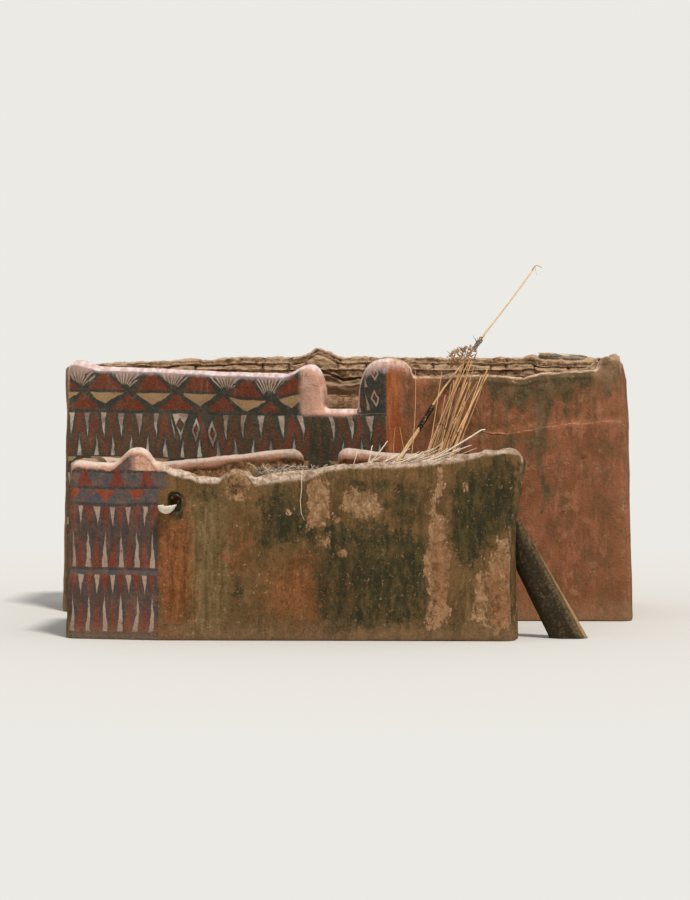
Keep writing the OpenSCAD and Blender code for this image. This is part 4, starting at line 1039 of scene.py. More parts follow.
def annex_patches(points, x, z, where):
    """Mouldy, flaked, orange and olive places of the annex front, each with ragged edges."""
    warp_x = x + 0.07 * fbm(points, 5.0, 41) + 0.035 * fbm(points, 15.0, 45)
    warp_z = z + 0.08 * fbm(points, 5.0, 42) + 0.035 * fbm(points, 15.0, 46)
    # squareness of the patches, then left, right, bottom, top and strength of each
    places = {
        "mould": (3, [
            (-1.28, -0.80, 0.95, 1.48, 0.85), (-0.88, -0.64, 0.98, 1.34, 0.95),
            (-0.66, 0.43, 0.10, 1.20, 1.05),
            (0.04, 0.42, 1.15, 1.64, 0.62), (0.72, 1.10, 0.80, 1.80, 1.0), (1.02, 1.36, 1.12, 1.82, 0.95),
            (-1.95, -1.55, 1.38, 1.62, 0.5), (-0.42, 0.12, 1.52, 1.68, 0.6), (-2.16, -2.01, 1.22, 1.50, 0.9),
            (-0.62, -0.40, 1.05, 1.22, 0.7), (-1.62, -1.30, 0.2, 0.70, 0.5)]),
        "tan": (3, [
            (-0.80, -0.50, 1.16, 1.58, 0.95), (-0.40, 0.02, 1.32, 1.56, 0.9),
            (-0.36, -0.08, 1.24, 1.36, 0.6), (-0.47, -0.36, 1.20, 1.28, 0.9),
            (0.45, 0.70, 0.10, 1.45, 0.82), (0.53, 0.66, 1.35, 1.76, 0.7),
            (1.08, 1.42, 0.10, 1.12, 0.85), (0.94, 1.12, 0.10, 0.80, 0.7), (1.36, 1.50, 1.05, 1.72, 0.6),
            (-1.60, -1.30, 1.38, 1.66, 0.6), (-1.24, -0.86, 1.12, 1.40, 0.33),
            (-0.72, -0.45, 0.92, 1.14, 0.55),
            (-0.46, -0.30, 0.78, 0.96, 0.6), (0.75, 0.95, 1.50, 1.66, 0.5)]),
        "orange": (2, [
            (-2.30, -1.90, 0.05, 1.42, 1.0), (-1.30, -0.30, 0.10, 0.94, 0.75),
            (-0.46, -0.20, 0.10, 0.80, 0.7),
            (-1.66, -1.24, 0.50, 1.34, 0.55), (0.45, 0.72, 0.10, 1.3, 0.40), (1.1, 1.42, 0.10, 0.85, 0.5)]),
        "olive": (3, [
            (-1.98, -1.54, 0.05, 1.50, 1.0), (-1.30, -0.90, 1.40, 1.62, 0.5), (-0.3, 0.4, 1.0, 1.3, 0.4)])}
    values = {}
    for name, (power, rows) in places.items():
        total = np.zeros(len(points))
        for left, right, bottom, top, strength in rows:
            wide, high = (right - left) / 2, (top - bottom) / 2
            far = np.abs((warp_x - left - wide) / wide) ** power
            far += np.abs((warp_z - bottom - high) / high) ** power
            total = np.maximum(total, strength * np.exp(-far * 0.7))
        values[name] = total * where
    return values


def worn_courses(material):
    """The worn courses of the back parapet, eaten into thin beds and crumbled blocks."""
    nodes = [f"worn_course_{number}" for number in range(1, 5)]
    shell = Shell(nodes, CELL * 0.55, relax=2)
    points = shell.points
    front = smoothstep(points[:, 1] - BEND[1], DEPTH - 0.15, DEPTH - 0.26)
    course = np.clip(np.floor((points[:, 2] - HOUSE_ROOF) / COURSE), 0, 3)
    share = (points[:, 2] - HOUSE_ROOF) / COURSE - course
    points[:, 1] -= (0.5 - share) * (0.008 + 0.028 * smoothstep(points[:, 2], 2.46, 2.60)) * front
    normal = shell.normals()
    x, y, z = points.T
    column_width = 0.05
    column = ((x - x.min()) / column_width).astype(int)
    top = np.zeros(column.max() + 1)
    np.maximum.at(top, column, z)
    below = np.interp(x, x.min() + column_width * (np.arange(len(top)) + 0.5), top) - z
    depth = below + 0.026 * fbm(points, (1.6, 1.6, 0.0), 50) + 0.020 * fbm(points, (7, 7, 2), 51)

    # thin beds, some of them broken into blocks
    beds = np.array([-0.06, 0.036, 0.064, 0.185, 0.225, 0.9])
    bed = np.clip(np.searchsorted(beds, depth), 1, len(beds) - 1)
    low, high = beds[bed - 1], beds[bed]
    blocky = ((high - low > 0.07) & (depth < 0.24)).astype(float)
    still = np.zeros_like(bed)
    jitter = lattice(np.stack([bed, still, still], 1).astype(np.int64), 52)
    along = x / np.where(blocky > 0, 0.31, 0.6) + 9 * jitter
    along += 0.9 * fbm(points, (1.1, 0, 0), 53) + 0.2 * fbm(points, 6.0, 58)
    block = np.floor(along)
    across = np.abs(along - block - 0.5) * 2
    cell = np.stack([bed, block.astype(np.int64), still], 1).astype(np.int64)
    seam = smoothstep(np.minimum(depth - low, high - depth), 0.014, 0.002) * smoothstep(depth, 0.30, 0.24)
    seam = seam * smoothstep(fbm(points, (4, 4, 1), 61), -0.45, 0.15)
    joint = np.maximum(seam, smoothstep(across, 0.86, 1.0) * blocky * (lattice(cell, 59) > 0.3))
    inset = lattice(cell, 54) ** 1.4 * smoothstep(depth, 0.26, 0.20)
    middle = np.abs(depth - (low + high) / 2) / ((high - low) / 2)
    rounding = (middle ** 4 + across ** 6) * blocky

    sideways = 1 - np.abs(normal[:, 2])
    push = -(0.002 + 0.034 * inset + 0.034 * joint + 0.024 * rounding) * sideways
    plain = smoothstep(z, 2.30, 2.24)
    rough = 0.020 * fbm(points, (6, 6, 13), 55) + 0.013 * fbm(points, (20, 20, 30), 56)
    rough += 0.006 * fbm(points, 48, 60)
    push += rough * (1 - 0.7 * plain) * smoothstep(depth, 0.50, 0.22)
    push += 0.012 * fbm(points, (3, 3, 10), 62) * sideways

    # crest worn down, but for the place where the stick lies
    stick_low, stick_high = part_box("parapet_stick")
    near_stick = smoothstep(np.abs(x - (stick_low.x + stick_high.x) / 2), 0.36, 0.28)
    crest = smoothstep(normal[:, 2], 0.4, 0.9)
    push -= crest * 0.022 * (0.5 + 0.8 * fbm(points, 6.5, 57)) * (1 - near_stick)
    from_bend = x - BEND[0]
    lift = 0.018 * np.exp(-((from_bend + 0.755) / 0.15) ** 4)
    lift += 0.010 * smoothstep(from_bend, -0.62, -0.5) * (from_bend < 0.2)
    lift += 0.026 * np.exp(-((x - stick_low.x + 0.07) / 0.09) ** 2)
    ahead = smoothstep(y, (stick_low.y + stick_high.y) / 2 + 0.01, stick_low.y - 0.03)
    shell.points = points + normal * push[:, None]
    shell.points[:, 2] += (lift - 0.034 * near_stick * ahead) * smoothstep(below, 0.30, 0.02)
    # painted shade: darker in the joints and inset blocks, and on the deeper face below the worn crest
    inside = np.maximum(joint, inset * 0.5) * sideways
    inside += 1.1 * smoothstep(below, 0.17, 0.27) * smoothstep(z, 2.26, 2.34)
    shell.part("worn_parapet", "worn_earth", material, nodes, {"inside": inside * (1 - 0.8 * plain)})


# Things on the roofs

def heap_height(box, x, y):
    """Height of a heap over the roof at a place, with rounded ends."""
    low, high = box
    across = (y - (low.y + high.y) / 2) / ((high.y - low.y) / 2)
    length = (x - low.x) / (high.x - low.x)
    end = max(min(length, 1 - length) / 0.12, 0.0)
    return (high.z - low.z) * math.sqrt(max(1 - across * across, 0)) * min(1, math.sqrt(end))


def mound(bundle, box, fill, dice, tone):
    """Solid heart of a heap, as a grid with a flat bottom."""
    low, high = box
    columns, rows = 40, 12
    points, faces = [], []
    for i in range(columns + 1):
        for j in range(rows + 1):
            x = low.x + (high.x - low.x) * (0.02 + 0.96 * i / columns)
            y = low.y + (high.y - low.y) * (0.03 + 0.94 * j / rows)
            points.append((x, y, low.z + heap_height(box, x, y) * fill * dice.uniform(0.85, 1.0)))
    for i in range(columns):
        for j in range(rows):
            a = i * (rows + 1) + j
            faces.append((a, a + rows + 1, a + rows + 2, a + 1))
    bundle.add(points, faces, tone)


def loose_twigs(bundle, box, dice):
    """Short twigs and a few long sticks in all directions, every third one forked, with dry leaves."""
    low, high = box
    for number in range(760):
        x = dice.uniform(low.x + 0.05, high.x - 0.05)
        y = dice.uniform(low.y + 0.04, high.y - 0.04)
        z = low.z + 0.01 + heap_height(box, x, y) * dice.uniform(0.45, 0.98)
        length = dice.uniform(0.12, 0.5) if number % 9 else dice.uniform(0.5, 0.9)
        radius = dice.uniform(0.0018, 0.0045) if number % 12 else dice.uniform(0.006, 0.009)
        yaw = dice.gauss(0.0, 0.75)
        pitch = dice.gauss(0.0, 0.16)
        ahead = Vector((math.cos(yaw) * math.cos(pitch), math.sin(yaw) * math.cos(pitch), math.sin(pitch)))
        bend = Vector((dice.gauss(0, 1), dice.gauss(0, 1), dice.gauss(0, 0.6))) * length * 0.06
        path = []
        for t in (-0.5, -0.25, 0.0, 0.25, 0.5):
            p = Vector((x, y, z)) + ahead * (length * t) + bend * (1 - 4 * t * t)
            p.x = min(max(p.x, low.x), high.x)
            p.y = min(max(p.y, low.y + 0.01), high.y + 0.02)
            p.z = max(p.z, low.z + 0.012)
            path.append(p)
        radii = [radius * share for share in (1, 0.95, 0.85, 0.7, 0.45)]
        bundle.rod(path, radii, dice.random() ** 3 * 0.8, 4)
        if number % 3 == 0:
            fork = path[2] + (path[3] - path[2]) * 0.5
            twig = [fork + Vector((dice.gauss(0, 0.05), dice.gauss(0, 0.03), dice.uniform(0, 0.05))) * t
                    for t in (0, 1, 2)]
            bundle.rod(twig, [radius * 0.6, radius * 0.45, radius * 0.3], dice.random(), 4)
    for _ in range(260):
        x = dice.uniform(low.x + 0.05, high.x - 0.1)
        y = dice.uniform(low.y + 0.03, (low.y + high.y) / 2)
        z = low.z + heap_height(box, x, y) * dice.uniform(0.85, 1.0)
        curl = [
            Vector((x, y, z)) + Vector((dice.gauss(0, 0.02), dice.gauss(0, 0.02), dice.gauss(0, 0.008))) * i
            for i in range(4)]
        facing = (dice.gauss(0, 1), dice.gauss(0, 1), 1)
        bundle.leaf(curl, [0.004, 0.016, 0.014, 0.003], facing, dice.random())


def rim_sticks(bundle, dice):
    """Sticks that rise over the front rim, the thickest one to the right."""
    # x and z at the left end, x and z at the tip, and thickness in millimetres
    sticks = [
        (0.36, 1.80, 0.92, 1.97, 8), (0.20, 1.78, 0.53, 1.93, 7), (0.25, 1.78, 0.56, 1.87, 6),
        (0.37, 1.78, 0.68, 1.93, 7), (-0.13, 1.78, 0.06, 2.01, 7), (-0.14, 1.78, -0.10, 1.96, 6),
        (0.02, 1.79, 0.07, 1.85, 5), (0.13, 1.81, 0.25, 1.92, 5), (-0.29, 1.78, -0.25, 1.91, 4),
        (0.21, 1.79, 0.39, 1.86, 5), (0.30, 1.78, 0.46, 1.84, 5), (0.43, 1.79, 0.59, 1.89, 5),
        (0.10, 1.79, 0.23, 1.88, 4), (-0.02, 1.78, 0.17, 1.88, 4), (0.56, 1.81, 0.80, 1.94, 6),
        (0.47, 1.80, 0.74, 1.88, 5)]
    for _ in range(26):
        start, reach = dice.uniform(-0.25, 0.62), dice.uniform(0.12, 0.36)
        height = 1.79 + 0.06 * start
        end = height + reach * dice.uniform(0.15, 0.6)
        sticks.append((start, height, start + reach, end, dice.uniform(2.5, 5)))
    for x0, z0, x1, z1, thick in sticks:
        y = dice.uniform(-1.78, -1.62)
        a, b = Vector(place(x0, y, z0)), Vector(place(x1, y + dice.uniform(0.02, 0.16), z1))
        a -= (b - a) * (0.10 / max((b - a).length, 0.1))
        sag = Vector((0, 0, -0.04 * (b - a).length + dice.gauss(0, 0.006)))
        radii = [thick * 0.001 * share for share in (1, 1, 0.85, 0.6)]
        path = [a, a.lerp(b, 0.35) + sag, a.lerp(b, 0.7) + sag * 0.6, b]
        bundle.rod(path, radii, dice.uniform(0.85, 1.0), 6)
    thickest = [(0.50, -1.66, 1.80), (0.72, -1.60, 1.93), (0.92, -1.55, 2.05), (1.02, -1.53, 2.115),
                (1.06, -1.52, 2.12)]
    bundle.rod([place(*p) for p in thickest], [0.010, 0.0095, 0.009, 0.007, 0.006], 1.0, 8)


def brush_heap(material):
    """Thin dry twigs and sticks laid behind the front rim, the palest ones fanned out over it."""
    dice = random.Random(7)
    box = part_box("brushwood")
    bundle = Bundle()
    mound(bundle, box, 0.62, dice, 0.12)
    loose_twigs(bundle, box, dice)
    rim_sticks(bundle, dice)
    for _ in range(300):
        start = Vector(place(
            dice.uniform(-1.34, -0.40), dice.uniform(-1.98, -1.74), dice.uniform(1.61, 1.71)))
        end = start + Vector((
            dice.uniform(-0.12, 0.16), dice.uniform(-0.05, 0.05), dice.uniform(-0.01, 0.09)))
        knee = start.lerp(end, 0.6) + Vector((dice.gauss(0, 0.02), 0, dice.gauss(0, 0.012)))
        thick = dice.uniform(0.0025, 0.0055)
        bundle.rod([start, knee, end], [thick, thick * 0.85, thick * 0.5], dice.random() ** 2.2, 5)
    by_tip = [(-2.40, -1.95, 1.815), (-2.33, -1.97, 1.79), (-2.27, -2.0, 1.745)]
    bundle.rod([place(*p) for p in by_tip], [0.006, 0.008, 0.006], 0.6, 6)
    hanging = [(-0.78, -1.92, 1.68), (-0.79, -2.06, 1.735), (-0.80, -2.20, 1.74), (-0.803, -2.275, 1.66),
               (-0.80, -2.29, 1.56), (-0.815, -2.29, 1.43), (-0.805, -2.295, 1.31), (-0.775, -2.30, 1.235)]
    bundle.rod([place(*p) for p in hanging], [0.003] * 7 + [0.0018], 0.95, 5)
    bundle.build("brush_heap", "brush", material, ["brushwood"])


def rubble_heap(material):
    """Crumbled clods behind the painted end's rim, and dark ones behind the drain hole."""
    dice = random.Random(11)
    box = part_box("roof_rubble")
    low, high = box
    bundle = Bundle()
    mound(bundle, box, 0.86, dice, 0.5)
    for number in range(320):
        x = dice.uniform(low.x + 0.02, high.x - 0.02)
        y = dice.uniform(low.y + 0.02, high.y - 0.02)
        size = dice.uniform(0.008, 0.024) if number % 8 else dice.uniform(0.03, 0.055)
        height = heap_height(box, x, y)
        bundle.lump((x, y, low.z + max(height * 0.86 - size * 0.3, size * 0.5)), size, dice.random(), dice)
    for _ in range(24):
        x = -2.09 + dice.gauss(0, 0.05)
        y = ANNEX_FRONT + ANNEX_T + dice.uniform(0.06, 0.14)
        centre = place(x, y, 1.36 + dice.uniform(0, 0.14))
        bundle.lump(centre, dice.uniform(0.04, 0.075), 0.0, dice)
    bundle.build("rubble_heap", "worn_earth", material, ["roof_rubble"])


def long_pole(material, wrap_material):
    """Pale pole in two lengths tied end to end, with a dark wrapping, a second rod and a hooked tip."""
    low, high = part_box("long_pole")
    radius = 0.018
    foot = Vector((low.x + radius * 0.9, low.y + radius * 0.8, low.z + radius * 0.7))
    tip = Vector((high.x - 0.009, high.y - 0.008, high.z - 0.007))

    def at(t, side=0.0, lift=0.0):
        aside = 0.075 * max(1 - t / 0.24, 0) - 0.055 * min(max((t - 0.28) / 0.16, 0), 1)
        return foot.lerp(tip, t) + Vector((side + aside, 0, lift))

    knot, end = 0.66, 0.955
    bundle = Bundle()
    lower = [i / 12 * (knot + 0.02) for i in range(13)]
    bundle.rod([at(t, 0.004 * math.sin(9 * t), 0.004 * math.sin(7 * t)) for t in lower],
               [0.0115 - 0.003 * t for t in lower], 0.62, 12)
    upper = [knot - 0.05 + (end - knot + 0.05) * i / 10 for i in range(11)]
    bundle.rod([at(t, 0.002 + 0.010 * math.sin(3.14 * (t - knot) / 0.34), 0.012) for t in upper],
               [0.009 - 0.006 * (t - knot) for t in upper], 0.8, 10)
    for t in (0.14, 0.44, 0.57):
        radii = [thick - 0.003 * t for thick in (0.0115, 0.0135, 0.0115)]
        bundle.rod([at(t - 0.002), at(t), at(t + 0.002)], radii, 0.4, 12)
    bundle.rod([at(t, 0.034 - 0.07 * t, -0.004) for t in (0.02, 0.10, 0.18, 0.27, 0.33)],
               [0.010, 0.0105, 0.010, 0.009, 0.007], 0.55, 8)
    top = at(end, 0.002, 0.012)
    hook = [(0, 0, 0), (0.030, 0.012, 0.048), (0.052, 0.02, 0.058), (0.085, 0.024, 0.044),
            (0.105, 0.024, 0.030)]
    bundle.rod([top + Vector(p) for p in hook], [0.0075, 0.007, 0.0065, 0.0055, 0.004], 0.8, 8)
    thread = [(0.035, 0.01, 0.046), (0.040, 0.008, -0.01), (0.050, 0.006, -0.045)]
    bundle.rod([top + Vector(p) for p in thread], [0.0022, 0.002, 0.0016], 0.3, 4)
    bundle.build("pole", "weathered_wood", material, ["long_pole"])

    ties = Bundle()
    axis = (tip - foot).normalized()
    side = axis.orthogonal().normalized()
    other = axis.cross(side)
    # start and end along the pole, number of turns, their radius and the strip's own radius
    for start, stop, turns, around, strip in (
            (0.284, 0.378, 17, 0.0215, 0.0065), (knot - 0.045, knot + 0.004, 9, 0.0205, 0.005)):
        path = []
        for i in range(turns * 10 + 1):
            a = 2 * math.pi * i / 10
            t = start + (stop - start) * i / (turns * 10)
            swell = around * (1 + 0.12 * math.sin(i * 0.37) + 0.08 * math.sin(i * 1.9))
            path.append(at(t, 0.004) + (side * math.cos(a) + other * math.sin(a)) * swell)
        ties.rod(path, [strip * (0.9 + 0.2 * math.sin(i * 0.7)) for i in range(len(path))], 0.2, 6)
    dice = random.Random(5)
    knot_at = at(knot - 0.02)
    for _ in range(7):
        reach = (dice.uniform(-0.05, 0.04), dice.uniform(-0.03, 0.03), dice.uniform(-0.03, 0.10))
        loose = knot_at + Vector(reach)
        middle = knot_at.lerp(loose, 0.5) + Vector((0, 0, 0.01))
        ties.rod([knot_at, middle, loose], [0.003, 0.0025, 0.0015], 0.5, 4)
    ties.build("pole_ties", "weathered_wood", wrap_material)


def stalk(bundle, dice, foot_x, tip_x, tip_z, thick, tone):
    """One bowed stalk that leans on the red wall, with its joints and some curled leaves."""
    steps = 16
    foot = Vector(place(foot_x, -1.16 + dice.gauss(0, 0.015), ANNEX_ROOF + 0.012))
    on_wall = min((2.60 - foot.z) / (tip_z - foot.z), 1.0)
    reach = (1.12 + dice.uniform(-0.01, 0.0)) / max(on_wall, 0.9)
    tip = Vector(place(tip_x, 0, tip_z))
    tip.y = foot.y + reach * (0.93 if tip_z > 2.5 else 0.80)
    bow = Vector((dice.gauss(0, 0.030), 0, 0.008 + dice.uniform(0, 0.012)))
    path = [foot.lerp(tip, k / steps) + bow * (4 * (k / steps) * (1 - k / steps)) for k in range(steps + 1)]
    radii = [thick * 0.00145 * (1 - 0.4 * k / steps) for k in range(steps + 1)]
    bundle.rod(path, radii, tone, 7)
    for k in range(2, steps, 3):
        joint = path[k]
        step = (path[k + 1] - joint).normalized() * 0.004
        bundle.rod([joint - step, joint, joint + step], [radii[k], radii[k] * 1.3, radii[k]], tone * 0.5, 7)
        if thick > 3 and dice.random() < 0.35:
            drop = Vector((dice.gauss(0, 0.05), -abs(dice.gauss(0, 0.03)), -0.05))
            curl = [joint + drop * t + Vector((0, 0, 0.05 * math.sin(3.0 * t)))
                    for t in (0, 0.3, 0.7, 1.1, 1.5)]
            facing = (dice.gauss(0, 0.4), 1, 0.3)
            bundle.leaf(curl, [0.006, 0.011, 0.010, 0.007, 0.002], facing, dice.random() * 0.5)


def stalk_bundle(material):
    """Dry cereal stalks leaning on the red wall, with a tuft of leaves at their tips."""
    dice = random.Random(3)
    bundle = Bundle()
    # x at the foot, x and z at the tip, thickness in millimetres and tone
    for row in (
            (0.23, 0.32, 2.67, 2.4, 1.0), (0.33, 0.52, 2.04, 4, 0.6), (0.39, 0.64, 2.42, 5, 0.5),
            (0.39, 0.60, 2.66, 4, 0.7), (0.42, 0.73, 2.57, 6, 0.6), (0.46, 0.70, 2.53, 4.5, 0.35),
            (0.48, 0.78, 2.62, 6, 0.7), (0.46, 0.83, 2.55, 5, 0.5), (0.47, 0.87, 2.55, 6.5, 1.0),
            (0.44, 0.85, 2.35, 6, 1.0), (0.54, 0.91, 2.55, 5, 0.75), (0.53, 1.02, 2.62, 6.5, 0.85),
            (0.46, 1.09, 2.63, 6.5, 1.0), (0.28, 0.81, 2.73, 5, 0.55), (0.26, 0.86, 2.81, 5.5, 0.6),
            (0.44, 0.89, 2.77, 4.5, 0.45), (0.51, 0.94, 2.71, 4.5, 0.5), (0.19, 0.11, 2.07, 2.2, 0.8),
            (0.31, 0.16, 2.08, 2.2, 0.9), (0.37, 0.72, 2.30, 4, 0.3), (0.50, 0.80, 2.20, 4, 0.4),
            (0.42, 0.67, 2.20, 3.5, 0.8), (0.56, 0.86, 2.10, 3.5, 0.6), (0.36, 0.90, 2.80, 6, 0.75),
            (0.33, 0.87, 2.83, 5.5, 0.3), (0.47, 0.92, 2.78, 5, 0.9), (0.58, 1.10, 2.72, 5.5, 0.7),
            (0.52, 1.08, 2.66, 5, 0.35), (0.44, 0.79, 2.50, 5, 0.15), (0.49, 0.90, 2.48, 5.5, 0.25),
            (0.40, 0.70, 2.40, 4.5, 0.2), (0.50, 0.98, 2.56, 5, 0.5)):
        stalk(bundle, dice, *row)
    for _ in range(95):
        share = dice.random()
        x = 0.68 + 0.24 * share + dice.gauss(0, 0.02)
        base = Vector(place(x, dice.uniform(-0.10, 0.05), 2.68 + 0.16 * dice.random() + 0.08 * share))
        heading = dice.uniform(0.6, 2.4)
        reach = dice.uniform(0.04, 0.11)
        ahead = Vector((math.cos(heading), dice.gauss(0, 0.2), math.sin(heading))) * reach
        droop = Vector((dice.gauss(0, 0.012), 0, -dice.uniform(0.0, 0.03)))
        blade = [base + ahead * s + droop * (s * s) for s in (0, 0.3, 0.6, 1.0)]
        facing = (dice.gauss(0, 0.5), 1, 0.2)
        bundle.leaf(blade, [0.005, 0.014, 0.011, 0.002], facing, 0.15 + dice.random() * 0.5)
    bundle.build("stalk_bundle", "straw", material, ["stalks"])


def parapet_stick(material):
    """Split branch that lies along the worn parapet, thicker at its left end."""
    low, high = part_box("parapet_stick")
    bundle = Bundle()
    dice = random.Random(11)
    y, z = (low.y + high.y) / 2, (low.z + high.z) / 2 - 0.020
    # start and end along the stick, offsets to the back and upwards, radius and tone of each split strand
    # besides the wood's own tones, the uppermost strand is light as a painted highlight and the low front
    # strands are dark as painted shade
    for start, end, back, up, radius, tone in (
            (0.0, 0.92, 0.012, 0.0, 0.034, 0.35), (0.0, 0.36, -0.008, 0.032, 0.016, 1.0),
            (0.02, 0.50, -0.022, 0.004, 0.024, 0.05), (0.30, 0.66, -0.008, 0.010, 0.017, 0.85),
            (0.08, 0.96, -0.016, -0.016, 0.026, 0.15), (0.55, 1.0, -0.004, 0.008, 0.016, 0.12),
            (0.60, 0.88, -0.018, -0.004, 0.014, 0.05), (0.12, 0.46, 0.004, 0.016, 0.013, 0.75)):
        path = []
        for i in range(10):
            t = start + (end - start) * i / 9
            aside, rise = dice.gauss(0, 0.0015), dice.gauss(0, 0.0015)
            path.append((low.x + (high.x - low.x) * t, y + back + aside, z + up - 0.016 * t + rise))
        shares = (0.45, 0.8, 0.95, 1, 1, 1, 0.95, 0.9, 0.75, 0.4)
        bundle.rod(path, [radius * share * dice.uniform(0.88, 1.08) for share in shares], tone, 9)
    bundle.build("worn_stick", "weathered_wood", material, ["parapet_stick"])


def thick_log(material):
    """Weathered trunk with long ridges and checks, its top hewn flat against the annex, with painted shade
    on its left and a painted highlight along its right edge.
    """
    shell = Shell(["leaning_log"], 0.012, relax=2)
    points, normal = shell.points, shell.normals()
    low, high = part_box("leaning_log")
    tilt = math.radians(28)
    axis = np.array([-math.sin(tilt), 0, math.cos(tilt)])
    side = np.array([math.cos(tilt), 0, math.sin(tilt)])
    foot = np.array([high.x - 0.17, (low.y + high.y) / 2, 0])
    along = (points - foot) @ axis
    across = points - foot - along[:, None] * axis
    sideways = across @ side
    angle = np.arctan2(across[:, 1], sideways)
    wrapped = np.stack([np.cos(angle) * 1.3, np.sin(angle) * 1.3, along * 0.7], 1)
    ridges = fbm(wrapped, (2.4, 2.4, 0.9), 90)
    checks = np.abs(fbm(wrapped, (4.5, 4.5, 0.6), 92, 2))
    free = smoothstep(normal[:, 0], -0.97, -0.8)
    push = 0.009 * ridges + 0.003 * fbm(points, 20, 91) - 0.003 - 0.010 * smoothstep(checks, 0.07, 0.0)
    shell.points = points + normal * (push * free)[:, None]
    shell.points[:, 0] -= 0.085 * smoothstep(-sideways, -0.02, 0.11) * smoothstep(points[:, 2], 1.15, 0.72)
    # painted light: darker on the left and lighter towards the right, with a bright strip on the right edge
    # as a painted highlight
    tone = 0.12 * ridges - 0.30 + 0.30 * smoothstep(sideways, 0.0, 0.10)
    tone += 0.95 * smoothstep(sideways, 0.106, 0.124)
    shell.part("thick_log", "weathered_wood", material, ["leaning_log"], {"tone": np.clip(tone, -0.4, 1)})


def potsherd(material):
    """Pale sherd of a bowl that leads water out of the drain, turned to the left."""
    rows, columns, wall = 18, 20, 0.010
    outside = [(j, 0.0) for j in range(columns + 1)]
    inside = [(j, wall) for j in reversed(range(columns + 1))]
    rings = []
    for i in range(rows + 1):
        t = i / rows
        round_off = math.sqrt(max(1 - (1 - min(t / 0.42, 1)) ** 2, 0.03))
        size = round_off * (1 - 0.38 * max(t - 0.42, 0) / 0.58)
        centre = place(-2.196 + 0.075 * max(t - 0.2, 0) / 0.8, ANNEX_FRONT - 0.145 + 0.27 * t, 1.384)
        ring = []
        for j, thick in outside + inside:
            a = math.pi * (1 + j / columns)
            jag = 0.0015 * math.sin(i * 1.7 + (0 if j == 0 else 2)) if j in (0, columns) else 0.0
            half, deep = 0.076 * size - thick, 0.088 * size - thick
            ring.append(centre + np.array([half * math.cos(a), 0, deep * math.sin(a) + jag]))
        rings.append(ring)
    caps = [(j, j + 1, 2 * columns - j, 2 * columns + 1 - j) for j in range(columns)]
    bundle = Bundle()
    bundle.add_rings(rings[::-1], 0.8, caps)
    bundle.build("potsherd", "pot_clay", material, ["drain_spout"])


# Stage

def camera():
    """Long lens at the photograph's low angle, a little from the right, aimed at the middle of the house."""
    distance, elevation, azimuth = 50.0, math.radians(3.2), math.radians(1.7)
    aim = Vector((0.02, 0, 1.82))
    data = bpy.data.cameras.new("camera")
    data.sensor_width = 36
    data.lens = 188
    data.clip_end = 300
    made = link("camera", data)
    level = math.cos(elevation)
    away = Vector((level * math.sin(azimuth), -level * math.cos(azimuth), math.sin(elevation)))
    made.location = aim + away * distance
    made.rotation_euler = (aim - made.location).to_track_quat("-Z", "Y").to_euler()
    bpy.context.scene.camera = made


def fade(tree, amount, first, second, output):
    """Mixes two shaders and sends them to the named output."""
    mix = tree.nodes.new("ShaderNodeMixShader")
    for socket, source in zip(mix.inputs, (amount, first.outputs[0], second.outputs[0])):
        tree.links.new(source, socket)
    tree.links.new(mix.outputs[0], tree.nodes[output].inputs["Surface"])


def floor(pale):
    """Wide floor that fades into the backdrop."""
    paint = Paint("floor")
    distance = paint.math("SQRT", paint.x * paint.x + paint.y * paint.y)
    paint.shader.inputs["Base Color"].default_value = rgb(206, 203, 197)
    paint.shader.inputs["Roughness"].default_value = 0.9
    glow = paint.node("Emission", pale)
    fade(paint.tree, paint.ramp(distance, 4.5, 13.0).socket, paint.shader, glow, "Material Output")
    size = 60.0
    corners = np.array([(-size, -size, 0), (size, -size, 0), (size, size, 0), (-size, size, 0)], float)
    mesh = make_mesh("floor", corners, np.array([[0, 1, 2, 3]]))
    mesh.materials.append(paint.material)
    link("floor", mesh)


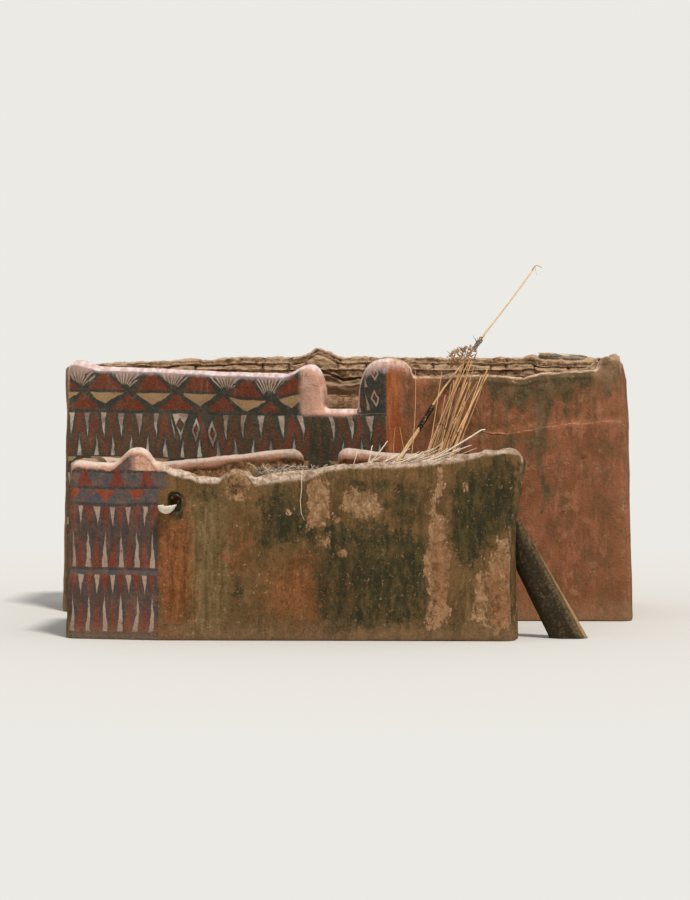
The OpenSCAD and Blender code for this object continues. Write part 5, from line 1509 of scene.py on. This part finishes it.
def sky(pale):
    """Even sky light, behind which the camera sees a pale backdrop."""
    world = bpy.data.worlds.new("sky")
    bpy.context.scene.world = world
    world.use_nodes = True
    tree = world.node_tree
    rays = tree.nodes.new("ShaderNodeLightPath")
    seen = rays.outputs["Is Camera Ray"]
    for name in ("Is Glossy Ray", "Is Transmission Ray"):
        most = tree.nodes.new("ShaderNodeMath")
        most.operation = "MAXIMUM"
        tree.links.new(seen, most.inputs[0])
        tree.links.new(rays.outputs[name], most.inputs[1])
        seen = most.outputs[0]
    backdrop = tree.nodes.new("ShaderNodeBackground")
    backdrop.inputs["Color"].default_value = pale
    light = tree.nodes["Background"]
    light.inputs["Color"].default_value = (0.96, 0.98, 1.0, 1)
    light.inputs["Strength"].default_value = 0.60
    fade(tree, seen, light, backdrop, "World Output")


def sun():
    """Soft high sun from the front, a little from the right."""
    data = bpy.data.lights.new("sun", "SUN")
    data.energy = 2.7
    data.angle = math.radians(9)
    data.color = (1.0, 0.97, 0.92)
    elevation, azimuth = math.radians(62), math.radians(30)
    level = Vector((-math.sin(azimuth), math.cos(azimuth), 0)) * math.cos(elevation)
    beam = level - Vector((0, 0, math.sin(elevation)))
    link("sun", data).rotation_euler = beam.to_track_quat("-Z", "Y").to_euler()


def give(material, *nodes):
    """Puts a material on frame nodes that keep their own shape."""
    for node in nodes:
        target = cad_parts[node]
        target.data.materials.clear()
        target.data.materials.append(material)


camera()
floor(rgb(236, 234, 229))
sky(rgb(236, 234, 229))
sun()
bpy.context.scene.view_settings.view_transform = "Standard"
house_walls(house_material())
annex_walls(annex_material())
worn_courses(earth_material("worn_earth", (138, 102, 70), (224, 188, 152), layered=True))
brush_heap(wood_material("twigs", (64, 42, 32), (252, 232, 206), 80.0))
rubble_heap(earth_material("clods", (150, 112, 78), (200, 164, 126)))
long_pole(wood_material("dry_wood", (116, 80, 48), (236, 196, 142), 70.0),
          wood_material("binding", (18, 24, 20), (44, 52, 42), 120.0))
stalk_bundle(wood_material("straw", (78, 44, 26), (228, 180, 128), 120.0))
parapet_stick(wood_material("stick_wood", (58, 40, 26), (240, 220, 192), 60.0))
thick_log(wood_material("grey_wood", (46, 38, 22), (164, 130, 88), 34.0))
potsherd(wood_material("sherd", (190, 170, 140), (244, 234, 214), 40.0))
give(earth_material("roof_earth", (146, 110, 78), (182, 146, 110)), "house_roof_earth", "annex_roof_earth")
give(earth_material("floor_earth", (112, 84, 60), (146, 114, 84)), "house_floor", "annex_floor")
give(wood_material("inner_wood", (58, 42, 30), (104, 78, 54), 60.0),
     "house_beams", "house_roof_poles", "annex_beams", "annex_roof_poles")
